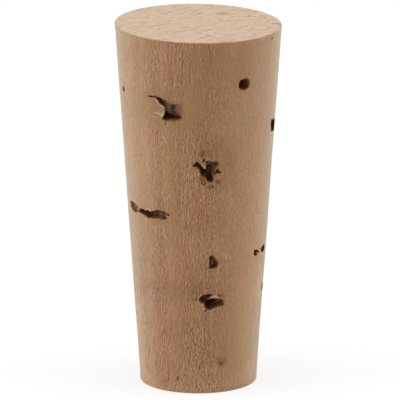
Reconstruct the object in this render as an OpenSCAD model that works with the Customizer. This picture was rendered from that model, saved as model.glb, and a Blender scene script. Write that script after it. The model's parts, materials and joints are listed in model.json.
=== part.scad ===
// Natural cork stopper: one plug cut from bark cork, tapered from a wide end to a narrow one.
// It stands on its narrow end, with its axis on Z. The bark's pores, its lenticels, open in
// the wall as pits. A pit is placed by its turn about Z, in degrees from the front (-Y)
// towards the right (+X), and by its height. Sizes are in millimetres.

/* [Cork] */
// Length of the stopper along its axis
cork_length = 44; // [40:1:60]
// Diameter of the wide end
top_d = 20; // [18:0.5:24]
// Diameter of the narrow end
base_d = 14; // [12:0.5:17]
// How far the wide end is cut out of square, in degrees
top_slant = 0.9; // [0:0.1:2]

/* [Pinhole] */
// Turn of the round pinhole
pinhole_turn = 34; // [28:1:40]
// Distance of the pinhole below the wide end
pinhole_below = 5.5; // [3:0.5:8]
// Diameter of the pinhole
pinhole_d = 1.3; // [0.8:0.1:1.8]
// Depth of the pinhole, to its round bottom
pinhole_depth = 2.4; // [1:0.1:3]

/* [Torn pit] */
// Turn of the torn pit
torn_turn = -19.5; // [-24:0.5:-14]
// Distance of the torn pit below the wide end
torn_below = 8.6; // [7:0.1:11]
// Width of the torn pit with its crack
torn_wide = 4.3; // [3:0.1:5]
// Height of the torn pit
torn_tall = 2.8; // [2:0.1:3.5]
// Depth of the torn pit
torn_depth = 1.7; // [1:0.1:2.5]
// How far the torn pit runs in behind the flap on its left
torn_undercut = 0.5; // [0:0.1:0.8]

/* [Star pit] */
// Turn of the star pit
star_turn = 7; // [2:1:12]
// Distance of the star pit below the wide end
star_below = 16; // [14:0.5:19]
// Width of the star pit between the tips of its arms
star_wide = 3.5; // [2.5:0.1:4]
// Height of the star pit
star_tall = 2.8; // [2:0.1:3.5]
// Depth of the star pit
star_depth = 2; // [1:0.1:3]

/* [Edge slot] */
// Turn of the slot on the right side
slot_turn = 79; // [74:1:90]
// Distance of the slot below the wide end
slot_below = 11.9; // [9:0.1:14]
// Length of the slot round the wall
slot_wide = 3; // [2:0.1:4]
// Height of the slot
slot_tall = 1.7; // [1:0.1:2.2]
// Depth of the slot
slot_depth = 1.4; // [0.8:0.1:2]

/* [Groove] */
// Turn at the middle of the long groove on the left side
groove_turn = -48; // [-56:1:-44]
// Height of the groove above the narrow end
groove_above = 22.2; // [20:0.1:24]
// Height of the groove at its widest
groove_tall = 1; // [0.7:0.1:1.4]
// Depth of the groove at its deepest
groove_depth = 1.1; // [0.7:0.1:1.6]

/* [Twin holes] */
// Turn of the nearer twin hole
twin_turn = 58; // [52:1:62]
// Height of the twin holes above the narrow end
twin_above = 16.9; // [15:0.1:19]
// Width of a twin hole
twin_wide = 1.3; // [0.9:0.1:1.6]
// Height of a twin hole
twin_tall = 0.9; // [0.6:0.1:1.2]
// Distance between the twin holes round the wall
twin_pitch = 1.95; // [1.8:0.05:2.5]
// Depth of the twin holes
twin_depth = 1.3; // [0.8:0.1:2]

/* [Drop pit] */
// Turn of the drop-shaped pit
drop_turn = 12.5; // [8:0.5:18]
// Height of the drop pit above the narrow end
drop_above = 16.6; // [15.5:0.1:18]
// Width of the drop pit
drop_wide = 1.2; // [0.8:0.1:1.8]
// Height of the drop pit
drop_tall = 1.8; // [1.2:0.1:2.4]
// Depth of the drop pit
drop_depth = 1.5; // [0.8:0.1:2.2]

/* [Ragged pit] */
// Turn of the ragged pit
ragged_turn = 10; // [5:1:15]
// Height of the ragged pit above the narrow end
ragged_above = 11.6; // [9:0.1:13]
// Width of the ragged pit
ragged_wide = 3.2; // [2.4:0.1:4]
// Height of the ragged pit
ragged_tall = 2.1; // [1.5:0.1:2.6]
// Depth of the ragged pit
ragged_depth = 1.9; // [1:0.1:2.6]

/* [Hidden] */
// How much of its mouth a pit keeps at its floor
floor_share = 0.35;
// Levels in a pit's wall, from its mouth to its floor
pit_levels = 4;
// How far a cut reaches out of the wall, so that it opens cleanly
proud = 0.4;
// Share of an edge that is cut away at each end when an outline is softened
corner_cut = 0.22;
// How much wider and deeper a groove is where it starts and ends than along its run
end_swell = 1.12;
// Spare height of the blank above the wide end, before the end is cut
blank_spare = 1;

// Growth of the radius with height
taper = (top_d - base_d) / 2 / cork_length;
// Height of the blank, which clears the slanted cut
blank_height = cork_length + top_d * tan(top_slant) + blank_spare;

// Outlines of the pits as someone sees them from outside, anticlockwise. Points are shares
// of the pit's width and height, measured from the place where it is deepest.
STAR = [
    [-0.49, 0.22], [-0.34, 0.22], [-0.28, 0.07], [-0.24, -0.09], [-0.17, -0.25], [-0.07, -0.25],
    [0.03, -0.45], [0.16, -0.47], [0.24, -0.36], [0.26, -0.14], [0.34, -0.13], [0.51, -0.05],
    [0.42, 0.08], [0.34, 0.12], [0.28, 0], [0.29, 0.18], [0.35, 0.4], [0.16, 0.49],
    [-0.05, 0.5], [-0.06, 0.19], [-0.12, 0.12], [-0.24, 0.29], [-0.32, 0.41], [-0.42, 0.36]
];
TORN = [
    [-0.71, 0.54], [-0.52, 0.51], [-0.41, 0.47], [-0.37, 0.36], [-0.3, 0.27], [-0.22, 0.17],
    [-0.2, 0.03], [-0.21, -0.16], [-0.25, -0.25], [-0.31, -0.33], [-0.27, -0.42], [-0.1, -0.42],
    [0.04, -0.38], [0.14, -0.33], [0.28, -0.33], [0.29, -0.04], [0.26, 0.33], [0.15, 0.35],
    [0.03, 0.33], [-0.06, 0.42], [-0.17, 0.49], [-0.27, 0.52], [-0.38, 0.57], [-0.52, 0.57]
];
RAGGED = [
    [-0.41, 0.2], [-0.37, 0.05], [-0.3, -0.02], [-0.22, 0], [-0.21, -0.2], [-0.16, -0.31],
    [-0.09, -0.49], [0.05, -0.47], [0.18, -0.37], [0.31, -0.29], [0.46, -0.3], [0.59, -0.25],
    [0.51, -0.05], [0.49, 0.14], [0.31, 0.18], [0.09, 0.25], [-0.04, 0.3], [0.08, 0.39],
    [0.07, 0.49], [-0.11, 0.5], [-0.25, 0.47], [-0.34, 0.35]
];
DROP = [
    [-0.44, 0.35], [-0.4, 0.06], [-0.32, -0.18], [-0.24, -0.44], [0.18, -0.38], [0.5, -0.29],
    [0.53, -0.06], [0.26, 0.15], [0.14, 0.38], [-0.06, 0.56], [-0.31, 0.5]
];
SLOT = [
    [-0.5, 0.48], [-0.46, 0], [-0.42, -0.35], [-0.29, -0.5], [0.05, -0.5], [0.37, -0.47],
    [0.5, -0.18], [0.48, 0.18], [0.05, 0.36], [-0.27, 0.47]
];
HOOK = [
    [-0.4, 0.11], [-0.36, -0.34], [-0.11, -0.5], [0.22, -0.55], [0.24, -0.17], [0.6, -0.22],
    [0.5, 0.06], [0.16, 0.25], [-0.16, 0.45]
];
BEAN = [
    [-0.5, 0.1], [-0.42, -0.28], [-0.12, -0.5], [0.2, -0.38], [0.45, -0.3], [0.52, 0.06],
    [0.3, 0.42], [0, 0.46], [-0.3, 0.4]
];

// Lenticels of the far side: turn, height above the narrow end, width, height, depth, outline
FAR_PITS = [
    [104, 9.5, 2.6, 0.9, 1, BEAN],
    [119, 24.5, 3.2, 1, 1.2, SLOT],
    [131, 37, 1.2, 1.3, 1.4, DROP],
    [152, 30, 1.5, 1.2, 1.6, BEAN],
    [163, 8, 1.3, 1.6, 1.5, DROP],
    [177, 20, 3, 2.1, 1.8, RAGGED],
    [196, 34, 2.6, 2.2, 1.8, STAR],
    [207, 13.5, 1.2, 1, 1.5, BEAN],
    [224, 26.5, 1.8, 1, 1.3, HOOK],
    [243, 9, 3, 0.9, 1, BEAN],
    [254, 33.5, 3.4, 0.9, 1.1, SLOT]
];

// Radius of the wall at a height
function wall_r(height) = base_d / 2 + taper * height;

// Outline with each corner cut once, which turns its points into a rounded ring
function softened(points) = [
    for (i = [0 : len(points) - 1], t = [corner_cut, 1 - corner_cut])
        points[i] * (1 - t) + points[(i + 1) % len(points)] * t
];

// Share of the mouth's size at a level of the pit: a quarter ellipse down to the floor's share
function level_share(t) = floor_share + (1 - floor_share) * sqrt(1 - t * t);

// Places its children on the wall: X round the wall, Y up and Z out of it
module on_wall(turn, height) {
    translate([wall_r(height) * sin(turn), -wall_r(height) * cos(turn), height])
        rotate([90, 0, turn])
            children();
}

// A lenticel: its outline, lofted inwards through shrinking levels to its floor
module lenticel(turn, height, wide, tall, deep, outline, undercut = 0) {
    ring = softened(outline);
    n = len(ring);
    mouth = [for (p = ring) [p.x * wide, p.y * tall, proud]];
    levels = [
        for (k = [0 : pit_levels], p = ring)
            let (t = k / pit_levels, s = level_share(t))
                [p.x * wide * s - undercut * t, p.y * tall * s, -deep * t]
    ];
    sides = [
        for (k = [0 : pit_levels], i = [0 : n - 1])
            let (j = (i + 1) % n, a = k * n + i, b = k * n + j)
                each [[a, b, b + n], [a, b + n, a + n]]
    ];
    lid = [for (i = [n - 1 : -1 : 0]) i];
    floor_face = [for (i = [0 : n - 1]) (pit_levels + 1) * n + i];
    on_wall(turn, height)
        polyhedron(points = concat(mouth, levels), faces = concat(sides, [lid, floor_face]));
}

// A round hole straight into the wall, with a round bottom
module ball_hole(turn, height, d, deep) {
    on_wall(turn, height) {
        translate([0, 0, d / 2 - deep])
            cylinder(h = deep - d / 2 + proud, d = d, $fn = 48);
        translate([0, 0, d / 2 - deep])
            sphere(d = d, $fn = 48);
    }
}

// A stretch of groove round the wall: a round-bottomed channel between two round ends
module channel(from, to, height, tall, deep) {
    rotate([0, 0, from - 90])
        translate([0, 0, height])
            rotate_extrude(angle = to - from, $fn = 180) {
                translate([wall_r(height) - deep + tall / 2, 0])
                    circle(d = tall, $fn = 48);
                translate([wall_r(height) - deep + tall / 2, -tall / 2])
                    square([deep - tall / 2 + proud, tall]);
            }
    for (turn = [from, to])
        ball_hole(turn, height, tall * end_swell, deep * end_swell);
}

// The long groove: a shallow hollow, a thin link, and a run that widens as it deepens
module groove() {
    hollow_turn = groove_turn - 18;
    lenticel(hollow_turn, groove_above + 0.1, 1.9, groove_tall * 1.1, groove_depth * 0.35, BEAN);
    channel(groove_turn - 15, groove_turn - 2, groove_above, groove_tall * 0.45, groove_depth * 0.6);
    channel(groove_turn + 1, groove_turn + 11, groove_above - 0.1, groove_tall * 0.7, groove_depth * 0.9);
    lenticel(groove_turn + 16, groove_above + 0.1, 2.4, groove_tall, groove_depth, SLOT);
}

// Plug blank: a cone that carries on past the wide end, cut there at the slant
module plug() {
    difference() {
        cylinder(h = blank_height, r1 = base_d / 2, r2 = wall_r(blank_height), $fn = 180);
        translate([0, 0, cork_length])
            rotate([0, top_slant, 0])
                translate([-top_d, -top_d, 0])
                    cube([2 * top_d, 2 * top_d, blank_height]);
    }
}

module stopper() {
    color([0.71, 0.56, 0.43])
        difference() {
            plug();
            ball_hole(pinhole_turn, cork_length - pinhole_below, pinhole_d, pinhole_depth);
            lenticel(torn_turn, cork_length - torn_below, torn_wide, torn_tall, torn_depth, TORN,
                torn_undercut);
            lenticel(star_turn, cork_length - star_below, star_wide, star_tall, star_depth, STAR);
            lenticel(slot_turn, cork_length - slot_below, slot_wide, slot_tall, slot_depth, SLOT);
            groove();
            lenticel(twin_turn, twin_above, twin_wide, twin_tall, twin_depth, HOOK);
            lenticel(twin_turn + twin_pitch / wall_r(twin_above) * 180 / PI, twin_above,
                twin_wide, twin_tall, twin_depth, BEAN);
            lenticel(drop_turn, drop_above, drop_wide, drop_tall, drop_depth, DROP);
            lenticel(ragged_turn, ragged_above, ragged_wide, ragged_tall, ragged_depth, RAGGED);
            for (p = FAR_PITS)
                lenticel(p[0], p[1], p[2], p[3], p[4], p[5]);
        }
}

stopper();
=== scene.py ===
"""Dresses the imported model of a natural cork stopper: its skin, its cork and a plain studio.

The stopper stands on its narrow end with its axis on Z. A place on its wall is a turn, in
degrees from the front (-Y) towards the right (+X), and a height in millimetres. The bark that
it was cut from grew outwards along the level direction at BARK_TURN, so the growth rings are
upright planes across that direction.
"""

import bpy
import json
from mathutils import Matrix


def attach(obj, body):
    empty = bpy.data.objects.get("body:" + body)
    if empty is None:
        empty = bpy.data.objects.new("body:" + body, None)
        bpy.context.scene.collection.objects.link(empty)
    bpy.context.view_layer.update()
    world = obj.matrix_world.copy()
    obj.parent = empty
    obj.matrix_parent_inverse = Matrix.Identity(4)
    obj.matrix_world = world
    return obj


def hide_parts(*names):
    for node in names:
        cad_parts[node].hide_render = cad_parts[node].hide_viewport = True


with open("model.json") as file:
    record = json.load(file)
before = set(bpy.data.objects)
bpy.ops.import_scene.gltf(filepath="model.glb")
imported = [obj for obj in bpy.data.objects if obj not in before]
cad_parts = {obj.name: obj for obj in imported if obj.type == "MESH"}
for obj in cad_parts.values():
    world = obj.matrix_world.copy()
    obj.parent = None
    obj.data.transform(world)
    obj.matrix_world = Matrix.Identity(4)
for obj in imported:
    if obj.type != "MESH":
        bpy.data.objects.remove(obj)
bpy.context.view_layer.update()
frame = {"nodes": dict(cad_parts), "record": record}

import json
import math
from functools import partial

import bmesh
import bpy
import numpy as np
from mathutils import Matrix

bl_info = {
    "name": "Cork stopper",
    "version": (1, 0, 0),
    "blender": (4, 5, 0),
    "location": "3D View > Sidebar > Cork",
    "description": "Builds a natural cork stopper round its packed frame, with its studio",
    "category": "Add Mesh",
}

NODE = "stopper"
MM = 0.001
# Up to this height in millimetres a point is on the foot
FOOT_BAND = 0.001


def read(items, name, width=1, kind=float):
    """One property of a mesh's items: a row for each, or a number for each if width is 1."""
    values = np.empty(len(items) * width, kind)
    items.foreach_get(name, values)
    return values.reshape(-1, width) if width > 1 else values


POINTS = read(frame["nodes"][NODE].data.vertices, "co", 3) / MM
FOOT = POINTS[POINTS[:, 2] < FOOT_BAND]
WIDE_MOUNT = next(m for m in frame["record"]["mounts"] if m["name"] == "wide_end")


# ---------------- sizes and colours


def size_prop(name, description, value_mm, low_mm, high_mm):
    """A length with its default and limits, given in millimetres."""
    return bpy.props.FloatProperty(
        name=name, description=description, default=value_mm * MM,
        min=low_mm * MM, max=high_mm * MM, unit="LENGTH", precision=5,
    )


def count_prop(name, description, value, low, high):
    """A whole number with its limits."""
    return bpy.props.IntProperty(
        name=name, description=description, default=value, min=low, max=high,
    )


def colour_prop(name, description, value):
    """A linear colour without alpha."""
    return bpy.props.FloatVectorProperty(
        name=name, description=description, default=value,
        size=3, subtype="COLOR", min=0.0, max=1.0,
    )


def number_prop(name, description, value, high=1.0, unit="NONE", low=0.0):
    """A number with its limits, plain unless it has a unit."""
    return bpy.props.FloatProperty(
        name=name, description=description, default=value, min=low, max=high, unit=unit,
    )


class StopperSizes(bpy.types.PropertyGroup):
    """Sizes of the stopper. The outer ones come from the frame."""

    length: size_prop("Length", "Length along the axis",
                      WIDE_MOUNT["pos_m"][2] / MM, 20, 80)
    wide_r: size_prop("Wide radius", "Radius where the axis meets the wide end",
                      float(POINTS[:, 0].max()), 5, 20)
    narrow_r: size_prop("Narrow radius", "Radius of the narrow end",
                        float(np.hypot(FOOT[:, 0], FOOT[:, 1]).max()), 4, 20)
    slant: number_prop("Slant", "Rise of the wide end towards -X, per unit of length",
                       WIDE_MOUNT["axis"][0] / WIDE_MOUNT["axis"][2], 0.1)
    rim_round: size_prop("Rim rounding", "Radius of the two worn rims", 0.14, 0.02, 1)
    columns: count_prop("Columns", "Faces round the wall", 168, 24, 400)
    cell: size_prop("Cell", "Height of a face on the wall", 0.36, 0.1, 2)
    near_cuts: count_prop("Near cuts", "Cuts of a face's edge at the front pits", 5, 0, 9)
    far_cuts: count_prop("Far cuts", "Cuts of a face's edge at the far pits", 3, 0, 9)
    end_cuts: count_prop("End cuts", "Cuts of a face's edge at the end's stains", 3, 0, 9)
    unevenness: size_prop("Unevenness", "How far the wall dips where the cut was uneven",
                          0.05, 0, 0.5)


class StopperColours(bpy.types.PropertyGroup):
    """Colours of the cork and of what lines its pits."""

    rose: colour_prop("Rose ring", "Cork of the redder growth rings", (0.303, 0.119, 0.046))
    olive: colour_prop("Olive ring", "Cork of the yellower growth rings", (0.249, 0.134, 0.0405))
    stroke: colour_prop("Dark stroke", "Short dark strokes along the grain", (0.118, 0.029, 0.002))
    fleck: colour_prop("Pale stroke", "Short pale strokes along the grain", (0.515, 0.278, 0.142))
    # The ends' three colours are the sanded cork's own, made paler to paint the top lamp's light on
    # the wide end
    end_face_and_top_light: colour_prop("End face", "Cork across the sanded ends", (0.472, 0.321, 0.197))
    end_streak: colour_prop("End streak", "Ring lines across the sanded ends",
                            (0.326, 0.187, 0.094))
    end_fleck: colour_prop("End fleck", "Pale cells of the sanded ends", (0.556, 0.391, 0.257))
    # Pale cork at a pit's mouth, and painted highlight along the torn pit's flap
    lip_and_highlight: colour_prop("Lip", "Torn pale cork at a pit's mouth", (0.58, 0.42, 0.28))
    stain: colour_prop("Stain", "Brown stain beside a pit", (0.110, 0.038, 0.009))
    shelf: colour_prop("Shelf", "Brown crust near a pit's mouth", (0.185, 0.080, 0.040))
    # Crust and lining also paint the soft shadow under the torn pit's lower rim
    crust: colour_prop("Crust", "Brown crust down a pit's wall", (0.085, 0.034, 0.015))
    lining: colour_prop("Lining", "Dark crust deep in a pit", (0.038, 0.015, 0.007))
    soot: colour_prop("Soot", "Blackest lining", (0.012, 0.005, 0.002))
    dust: colour_prop("Dust", "Pale powder in a pit", (0.300, 0.185, 0.125))


class StudioSettings(bpy.types.PropertyGroup):
    """The camera, the lamps and the floor."""

    distance: size_prop("Camera distance", "From the camera to its aim", 1000, 200, 5000)
    elevation: bpy.props.FloatProperty(name="Elevation", default=math.radians(14.96),
                                       description="Of the camera above the level",
                                       subtype="ANGLE")
    lens: number_prop("Focal length", "Of the camera, in mm", 750.0, 2000, "CAMERA", 20)
    left_power: number_prop("Left panel", "Power in watts", 2.95, 100, "POWER")
    right_power: number_prop("Right panel", "Power in watts", 2.4, 100, "POWER")
    top_power: number_prop("Top panel", "Power in watts", 2.4, 100, "POWER")
    ambient: number_prop("Ambient", "Brightness of the room for diffuse light", 0.38)
    floor_colour: colour_prop("Floor colour", "Of the plain floor", (0.8, 0.8, 0.8))
    floor_seen: colour_prop("Floor seen", "Its share of the light that the camera sees",
                            (0.25, 0.25, 0.25))
    floor_white: number_prop("Floor white", "Light that the floor adds for the camera", 0.72)


# ---------------- pits, marks and tones

# Outlines are (turn, height) on the wall, in degrees and millimetres. Each entry is an
# outline and its numbers, under its kind:
# "hollow": depth, width of its wall, darkness of its lining, and then how far the lining
#     reaches out over the rim, if it does
# "lump": how much of the depth it fills
# "crust", "dust", "stain" and "pale", which are marks: strength and soft edge, and then the
#     half width where the outline is a line
# A lump changes only what comes before it.

TORN_PIT = {"hollow": [
    ([(-33, 36.96), (-30.2, 36.98), (-28.4, 36.88), (-25.5, 36.74), (-23.2, 36.58), (-20.5, 36.39),
      (-18.6, 36.24), (-16.7, 36.28), (-15, 36.34), (-13.2, 36.26), (-12.7, 35.76), (-12.6, 35.2),
      (-12, 34.8), (-12.2, 34.6), (-14.7, 34.48), (-17.7, 34.36), (-21.6, 34.28), (-24.8, 34.28),
      (-27.2, 34.36), (-27.4, 34.5), (-25.8, 34.8), (-25.1, 35.12), (-24.8, 35.48), (-25.2, 35.81),
      (-26.4, 36), (-28.1, 36.17), (-29.9, 36.42), (-31.3, 36.68)], 1, 0.5, 0.5),
    ([(-40, 36.9), (-36.8, 36.99), (-32.2, 37), (-29.8, 36.8), (-28, 36.44), (-26.4, 36.06),
      (-25.1, 35.7), (-24.6, 35.3), (-23.6, 35), (-20, 34.86), (-17, 34.7), (-14, 34.74),
      (-11.9, 34.74), (-11.9, 34.56), (-14.7, 34.46), (-18.5, 34.34), (-22.4, 34.26), (-26, 34.25),
      (-27.5, 34.41), (-25.9, 34.78), (-25.1, 35.12), (-24.85, 35.48), (-25.3, 35.81), (-26.5, 36),
      (-28.2, 36.18), (-30, 36.46), (-31.4, 36.74), (-33.4, 36.87),
      (-36.8, 36.87)], 1.5, 0.3, 0.7, 0.04),
], "crust": [
    # The first crust reaches a little below the pit's lower rim with a soft edge: crust in the pit,
    # and painted soft shadow on the wall under it
    ([(-25, 36), (-25.1, 35), (-27.2, 34.45), (-24.4, 34.2), (-17.6, 34.26), (-12.4, 34.5),
      (-12.6, 34.74), (-17.2, 34.7), (-19.5, 34.84), (-23.2, 34.98), (-24, 35.4)], 0.85, 0.18),
    ([(-19.4, 36.2), (-17.3, 36.2), (-17.2, 35.7), (-18.2, 35.3), (-19.2, 35.6)], 0.95, 0.14),
    ([(-18, 36.1), (-17.6, 35.6), (-17.9, 35)], 0.8, 0.14, 0.1),
    ([(-13, 36.2), (-12.7, 35.4), (-12.5, 34.8)], 0.7, 0.12, 0.07),
], "dust": [
    ([(-27.2, 36.72), (-24.6, 36.6), (-21, 36.42), (-20.3, 36.06), (-20.5, 35), (-23.2, 35.1),
      (-24.2, 35.5), (-25.4, 36.1)], 0.9, 0.2),
    ([(-16.6, 36.25), (-14.4, 36.28), (-13.4, 35.84), (-14, 34.9), (-16.6, 34.9)], 0.75, 0.2),
    ([(-12.9, 36.2), (-12.5, 35.4), (-12.2, 34.8)], 0.6, 0.15, 0.1),
    ([(-28, 36.76), (-24.5, 36.45), (-21.5, 36.35), (-18.2, 36.25)], 0.7, 0.15, 0.16),
], "stain": [
    ([(-24.85, 34.2), (-24.8, 33.95), (-24.8, 33.68)], 1, 0.06, 0.06),
    ([(-23, 36.8), (-19.5, 36.5), (-16.5, 36.5), (-12.6, 36.5)], 0.4, 0.3, 0.14),
    ([(-12.3, 36.3), (-12, 35.4), (-11.7, 34.9)], 0.35, 0.25, 0.1),
    ([(-45, 36.75), (-40, 36.95)], 0.35, 0.12, 0.06),
], "pale": [
    # The pale marks along the flap on the pit's left are partly pale cork of its mouth and partly
    # painted highlight where the flap's raised edge catches the light
    ([(-33, 36.74), (-31.5, 36.56), (-30.4, 36.32), (-28.8, 36.08), (-27, 35.9),
      (-25.9, 35.68)], 0.7, 0.1, 0.06),
    ([(-25.5, 35.4), (-25.9, 35.1), (-26.6, 34.8), (-27.8, 34.56), (-28.7, 34.72), (-27.5, 34.98),
      (-26.3, 35.3)], 0.8, 0.1),
    ([(-27.2, 34.78), (-29.6, 34.87), (-32.2, 34.93), (-33.9, 34.95)], 0.9, 0.07, 0.05),
    ([(-39.5, 34.54), (-35.8, 34.49), (-32.3, 34.38)], 0.4, 0.1, 0.05),
]}

STAR_PIT = {"hollow": [
    ([(-4.4, 28.66), (-2.6, 28.62), (-1, 28.6), (0.15, 28.4), (0.8, 28), (1.5, 27.64), (2.6, 27.36),
      (3.9, 27.28), (5.2, 27.26), (6.1, 27.08), (6.9, 26.8), (8.4, 26.62), (10.3, 26.64), (11.5, 26.8),
      (12.1, 27.15), (12, 27.6), (11.6, 28.05), (10.6, 28.5), (9.5, 28.74), (8, 28.68), (6.8, 28.46),
      (5.4, 28.27), (4.2, 28.36), (3, 28.58), (1.6, 28.82), (0.5, 29), (-0.4, 29.18), (-2, 29.14),
      (-3.4, 28.88)], 1.6, 0.4, 0.74),
    ([(6.1, 28.4), (5.6, 29.1), (6.4, 29.36), (8.4, 29.38), (10, 29.24), (11.5, 29.16), (13.4, 29.2),
      (15.5, 29.12), (15.9, 28.95), (15.4, 28.75), (15, 28.5), (14, 28.34), (12.8, 28.2), (12.6, 27.9),
      (12.6, 27.4), (11.4, 27.3), (8, 28)], 0.9, 0.4, 0.6),
    ([(10.8, 27.7), (12, 27.9), (13, 27.9), (13.8, 28.12), (14.5, 28.34), (15.4, 28.26), (16.4, 28),
      (18.4, 27.82), (17, 27.74), (15.6, 27.8), (14.4, 27.66), (12.8, 27.58)], 0.7, 0.2, 0.56),
    ([(3.5, 29.62), (3.4, 29.15), (4.7, 29.1), (4.8, 29.62)], 0.3, 0.12, 0.6),
], "crust": [
    ([(4.4, 28.1), (8.2, 28.3), (9.8, 28.2), (9.4, 27.6), (7, 27.4)], 1.1, 0.3),
    ([(9.2, 27.2), (10.4, 27.3), (10.8, 26.95), (9.8, 26.85)], 0.95, 0.15),
    ([(8.6, 29.1), (10.4, 29.1), (11, 28.6), (9.6, 28.2), (8.2, 28.5)], 1, 0.25),
    ([(11.7, 29.25), (13.8, 29.2), (14.4, 29.05), (13.2, 28.72), (12, 28.8)], 0.6, 0.14),
    ([(9.8, 28.6), (11.6, 28.4), (12.2, 28)], 0.85, 0.14, 0.08),
], "dust": [
    ([(7.8, 29.3), (9.8, 29.26), (10.8, 29), (9.4, 28.92), (8.2, 28.75), (7.7, 28.9)], 0.75, 0.15),
    ([(11.2, 29.1), (14.2, 29.15), (14, 28.95), (11.6, 28.9)], 0.75, 0.15),
    ([(7.6, 27.6), (8.4, 28.1), (9.8, 28.1), (9.6, 27.5)], 0.6, 0.2),
    ([(12, 28.7), (14, 28.85), (13.8, 28.4), (12.4, 28.2)], 0.55, 0.15),
    ([(-3, 28.85), (-1.6, 28.95), (-0.3, 28.9), (0.4, 28.7)], 0.8, 0.15, 0.14),
    ([(8.3, 27.2), (9.2, 27.35), (9.5, 27.05)], 0.4, 0.12, 0.1),
    ([(11.2, 27.7), (12.4, 27.7), (12.7, 27.28), (11.7, 27.05), (11.1, 27.4)], 0.7, 0.14),
    ([(5.2, 27.38), (6.3, 27.3), (6.9, 26.98)], 0.6, 0.12, 0.08),
    ([(12.6, 28.2), (13.3, 28.42), (14.6, 28.5), (14.1, 28.3), (13.4, 28.06),
      (12.8, 27.98)], 0.95, 0.1),
], "stain": [
    ([(3.1, 27.35), (4.4, 27.2)], 0.8, 0.1, 0.09),
    ([(2.6, 27.2), (2.3, 26.85), (3.1, 26.5), (4.4, 26.34)], 1, 0.12, 0.1),
    ([(3.6, 27.1), (4.9, 26.94), (5.4, 26.7), (4.8, 26.4)], 1, 0.1, 0.09),
    ([(7, 26.3), (6, 26.05), (8.5, 25.84), (10.5, 25.74), (13.4, 25.88), (12.6, 26.1), (12.2, 26.32),
      (9.5, 26.36)], 0.62, 0.2),
    ([(12.8, 26.7), (14.8, 27), (17.8, 26.75), (16.8, 26.3), (14, 26.3)], 0.6, 0.25),
    ([(0.4, 30.6), (0.8, 29.75), (4.8, 29.6), (5.2, 30.7)], 0.62, 0.3),
    ([(5, 30.7), (4.5, 30.2), (10.5, 29.9), (9, 30.7)], 0.42, 0.35),
    ([(12.6, 29.4), (13.2, 29.25), (13.8, 29.4)], 0.4, 0.1),
], "pale": [
    ([(4, 28.9), (3.6, 28.65), (4.4, 28.4), (5.6, 28.35), (5.4, 28.8)], 0.55, 0.12),
]}

GROOVE = {"hollow": [
    ([(-55.8, 22.2), (-55.2, 21.98), (-54, 21.9), (-52, 21.88), (-50, 21.81), (-47.5, 21.73),
      (-45.8, 21.66), (-45, 21.56), (-43.8, 21.58), (-43, 21.76), (-41.5, 21.67), (-40.5, 21.57),
      (-39, 21.59), (-37, 21.7), (-35, 21.74), (-33, 21.74), (-31, 21.74), (-28, 21.72), (-26, 21.8),
      (-25.8, 22), (-27, 22.06), (-27.4, 22.22), (-26.8, 22.34), (-25.6, 22.26), (-24.3, 22.26),
      (-24, 22.42), (-25.2, 22.55), (-26.8, 22.62), (-28.4, 22.7), (-30, 22.75), (-32.5, 22.76),
      (-34, 22.7), (-35.2, 22.76), (-36.6, 22.76), (-37.3, 22.55), (-38.5, 22.6), (-40.4, 22.7),
      (-41, 22.46), (-42.2, 22.38), (-43.6, 22.4), (-44.5, 22.5), (-46.2, 22.5), (-47.3, 22.38),
      (-48.7, 22.34), (-50.5, 22.4), (-52, 22.42), (-54.3, 22.38)], 1, 0.3, 0.56),
    ([(-73, 22.4), (-71, 22), (-67.5, 21.82), (-64.5, 21.76), (-61.6, 21.76), (-60, 21.84),
      (-59.4, 22.1), (-59.8, 22.4), (-61, 22.54), (-62.4, 22.66), (-64.5, 22.78), (-67.5, 22.8),
      (-70, 22.76), (-72, 22.7)], 0.35, 0.25, 0.58, 0.05),
], "crust": [
    ([(-54.6, 22.2), (-50, 22.12), (-46, 22), (-44.4, 21.8)], 1.1, 0.1, 0.16),
    ([(-42, 22.1), (-38.5, 22.4), (-34.3, 22.5), (-30.4, 22.55), (-27, 22.5)], 1, 0.1, 0.09),
    ([(-43.3, 21.8), (-38.8, 21.8), (-33.7, 21.9), (-29, 21.85)], 1, 0.08, 0.08),
    ([(-70.6, 22.7), (-66.1, 22.78), (-61.7, 22.64), (-58.4, 22.47)], 0.9, 0.08, 0.05),
    ([(-70, 22.2), (-65.5, 21.88), (-61.7, 21.84)], 0.85, 0.08, 0.05),
    ([(-63.2, 22.7), (-62, 22.3), (-62.4, 21.9)], 0.8, 0.08, 0.04),
    ([(-65, 22.66), (-62.8, 22.5), (-61.4, 22.2), (-61.8, 21.95)], 1, 0.1, 0.12),
    ([(-54.8, 22.05), (-52.5, 21.98), (-49.5, 21.9), (-46.5, 21.78), (-44.8, 21.64)], 0.95, 0.1, 0.11),
], "dust": [
    ([(-37.5, 22.2), (-33.6, 22.22), (-27.5, 22.15)], 0.55, 0.16, 0.16),
    ([(-36, 21.95), (-31, 21.95), (-26.8, 22)], 0.45, 0.12, 0.1),
    ([(-42.2, 22), (-40, 22.2)], 0.4, 0.12, 0.06),
    ([(-69, 22.4), (-65.8, 22.65), (-63.9, 22.4), (-66.1, 22)], 0.75, 0.12),
], "stain": [
    ([(-59.8, 22), (-57.8, 22), (-55.8, 22.1)], 0.9, 0.12, 0.12),
    ([(-59.8, 22.35), (-57.8, 22.3), (-56, 22.2)], 0.5, 0.14, 0.1),
    ([(-26, 22.6), (-25, 23), (-24.2, 23.1), (-23.6, 22.7)], 0.35, 0.2),
], "pale": [
    ([(-27.2, 22.3), (-26.6, 22.2), (-25.9, 22.24), (-26.4, 22.36)], 0.8, 0.08),
    ([(-46, 22.62), (-42, 22.5), (-40.6, 22.6), (-38.6, 22.72)], 0.8, 0.1, 0.06),
]}

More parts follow.
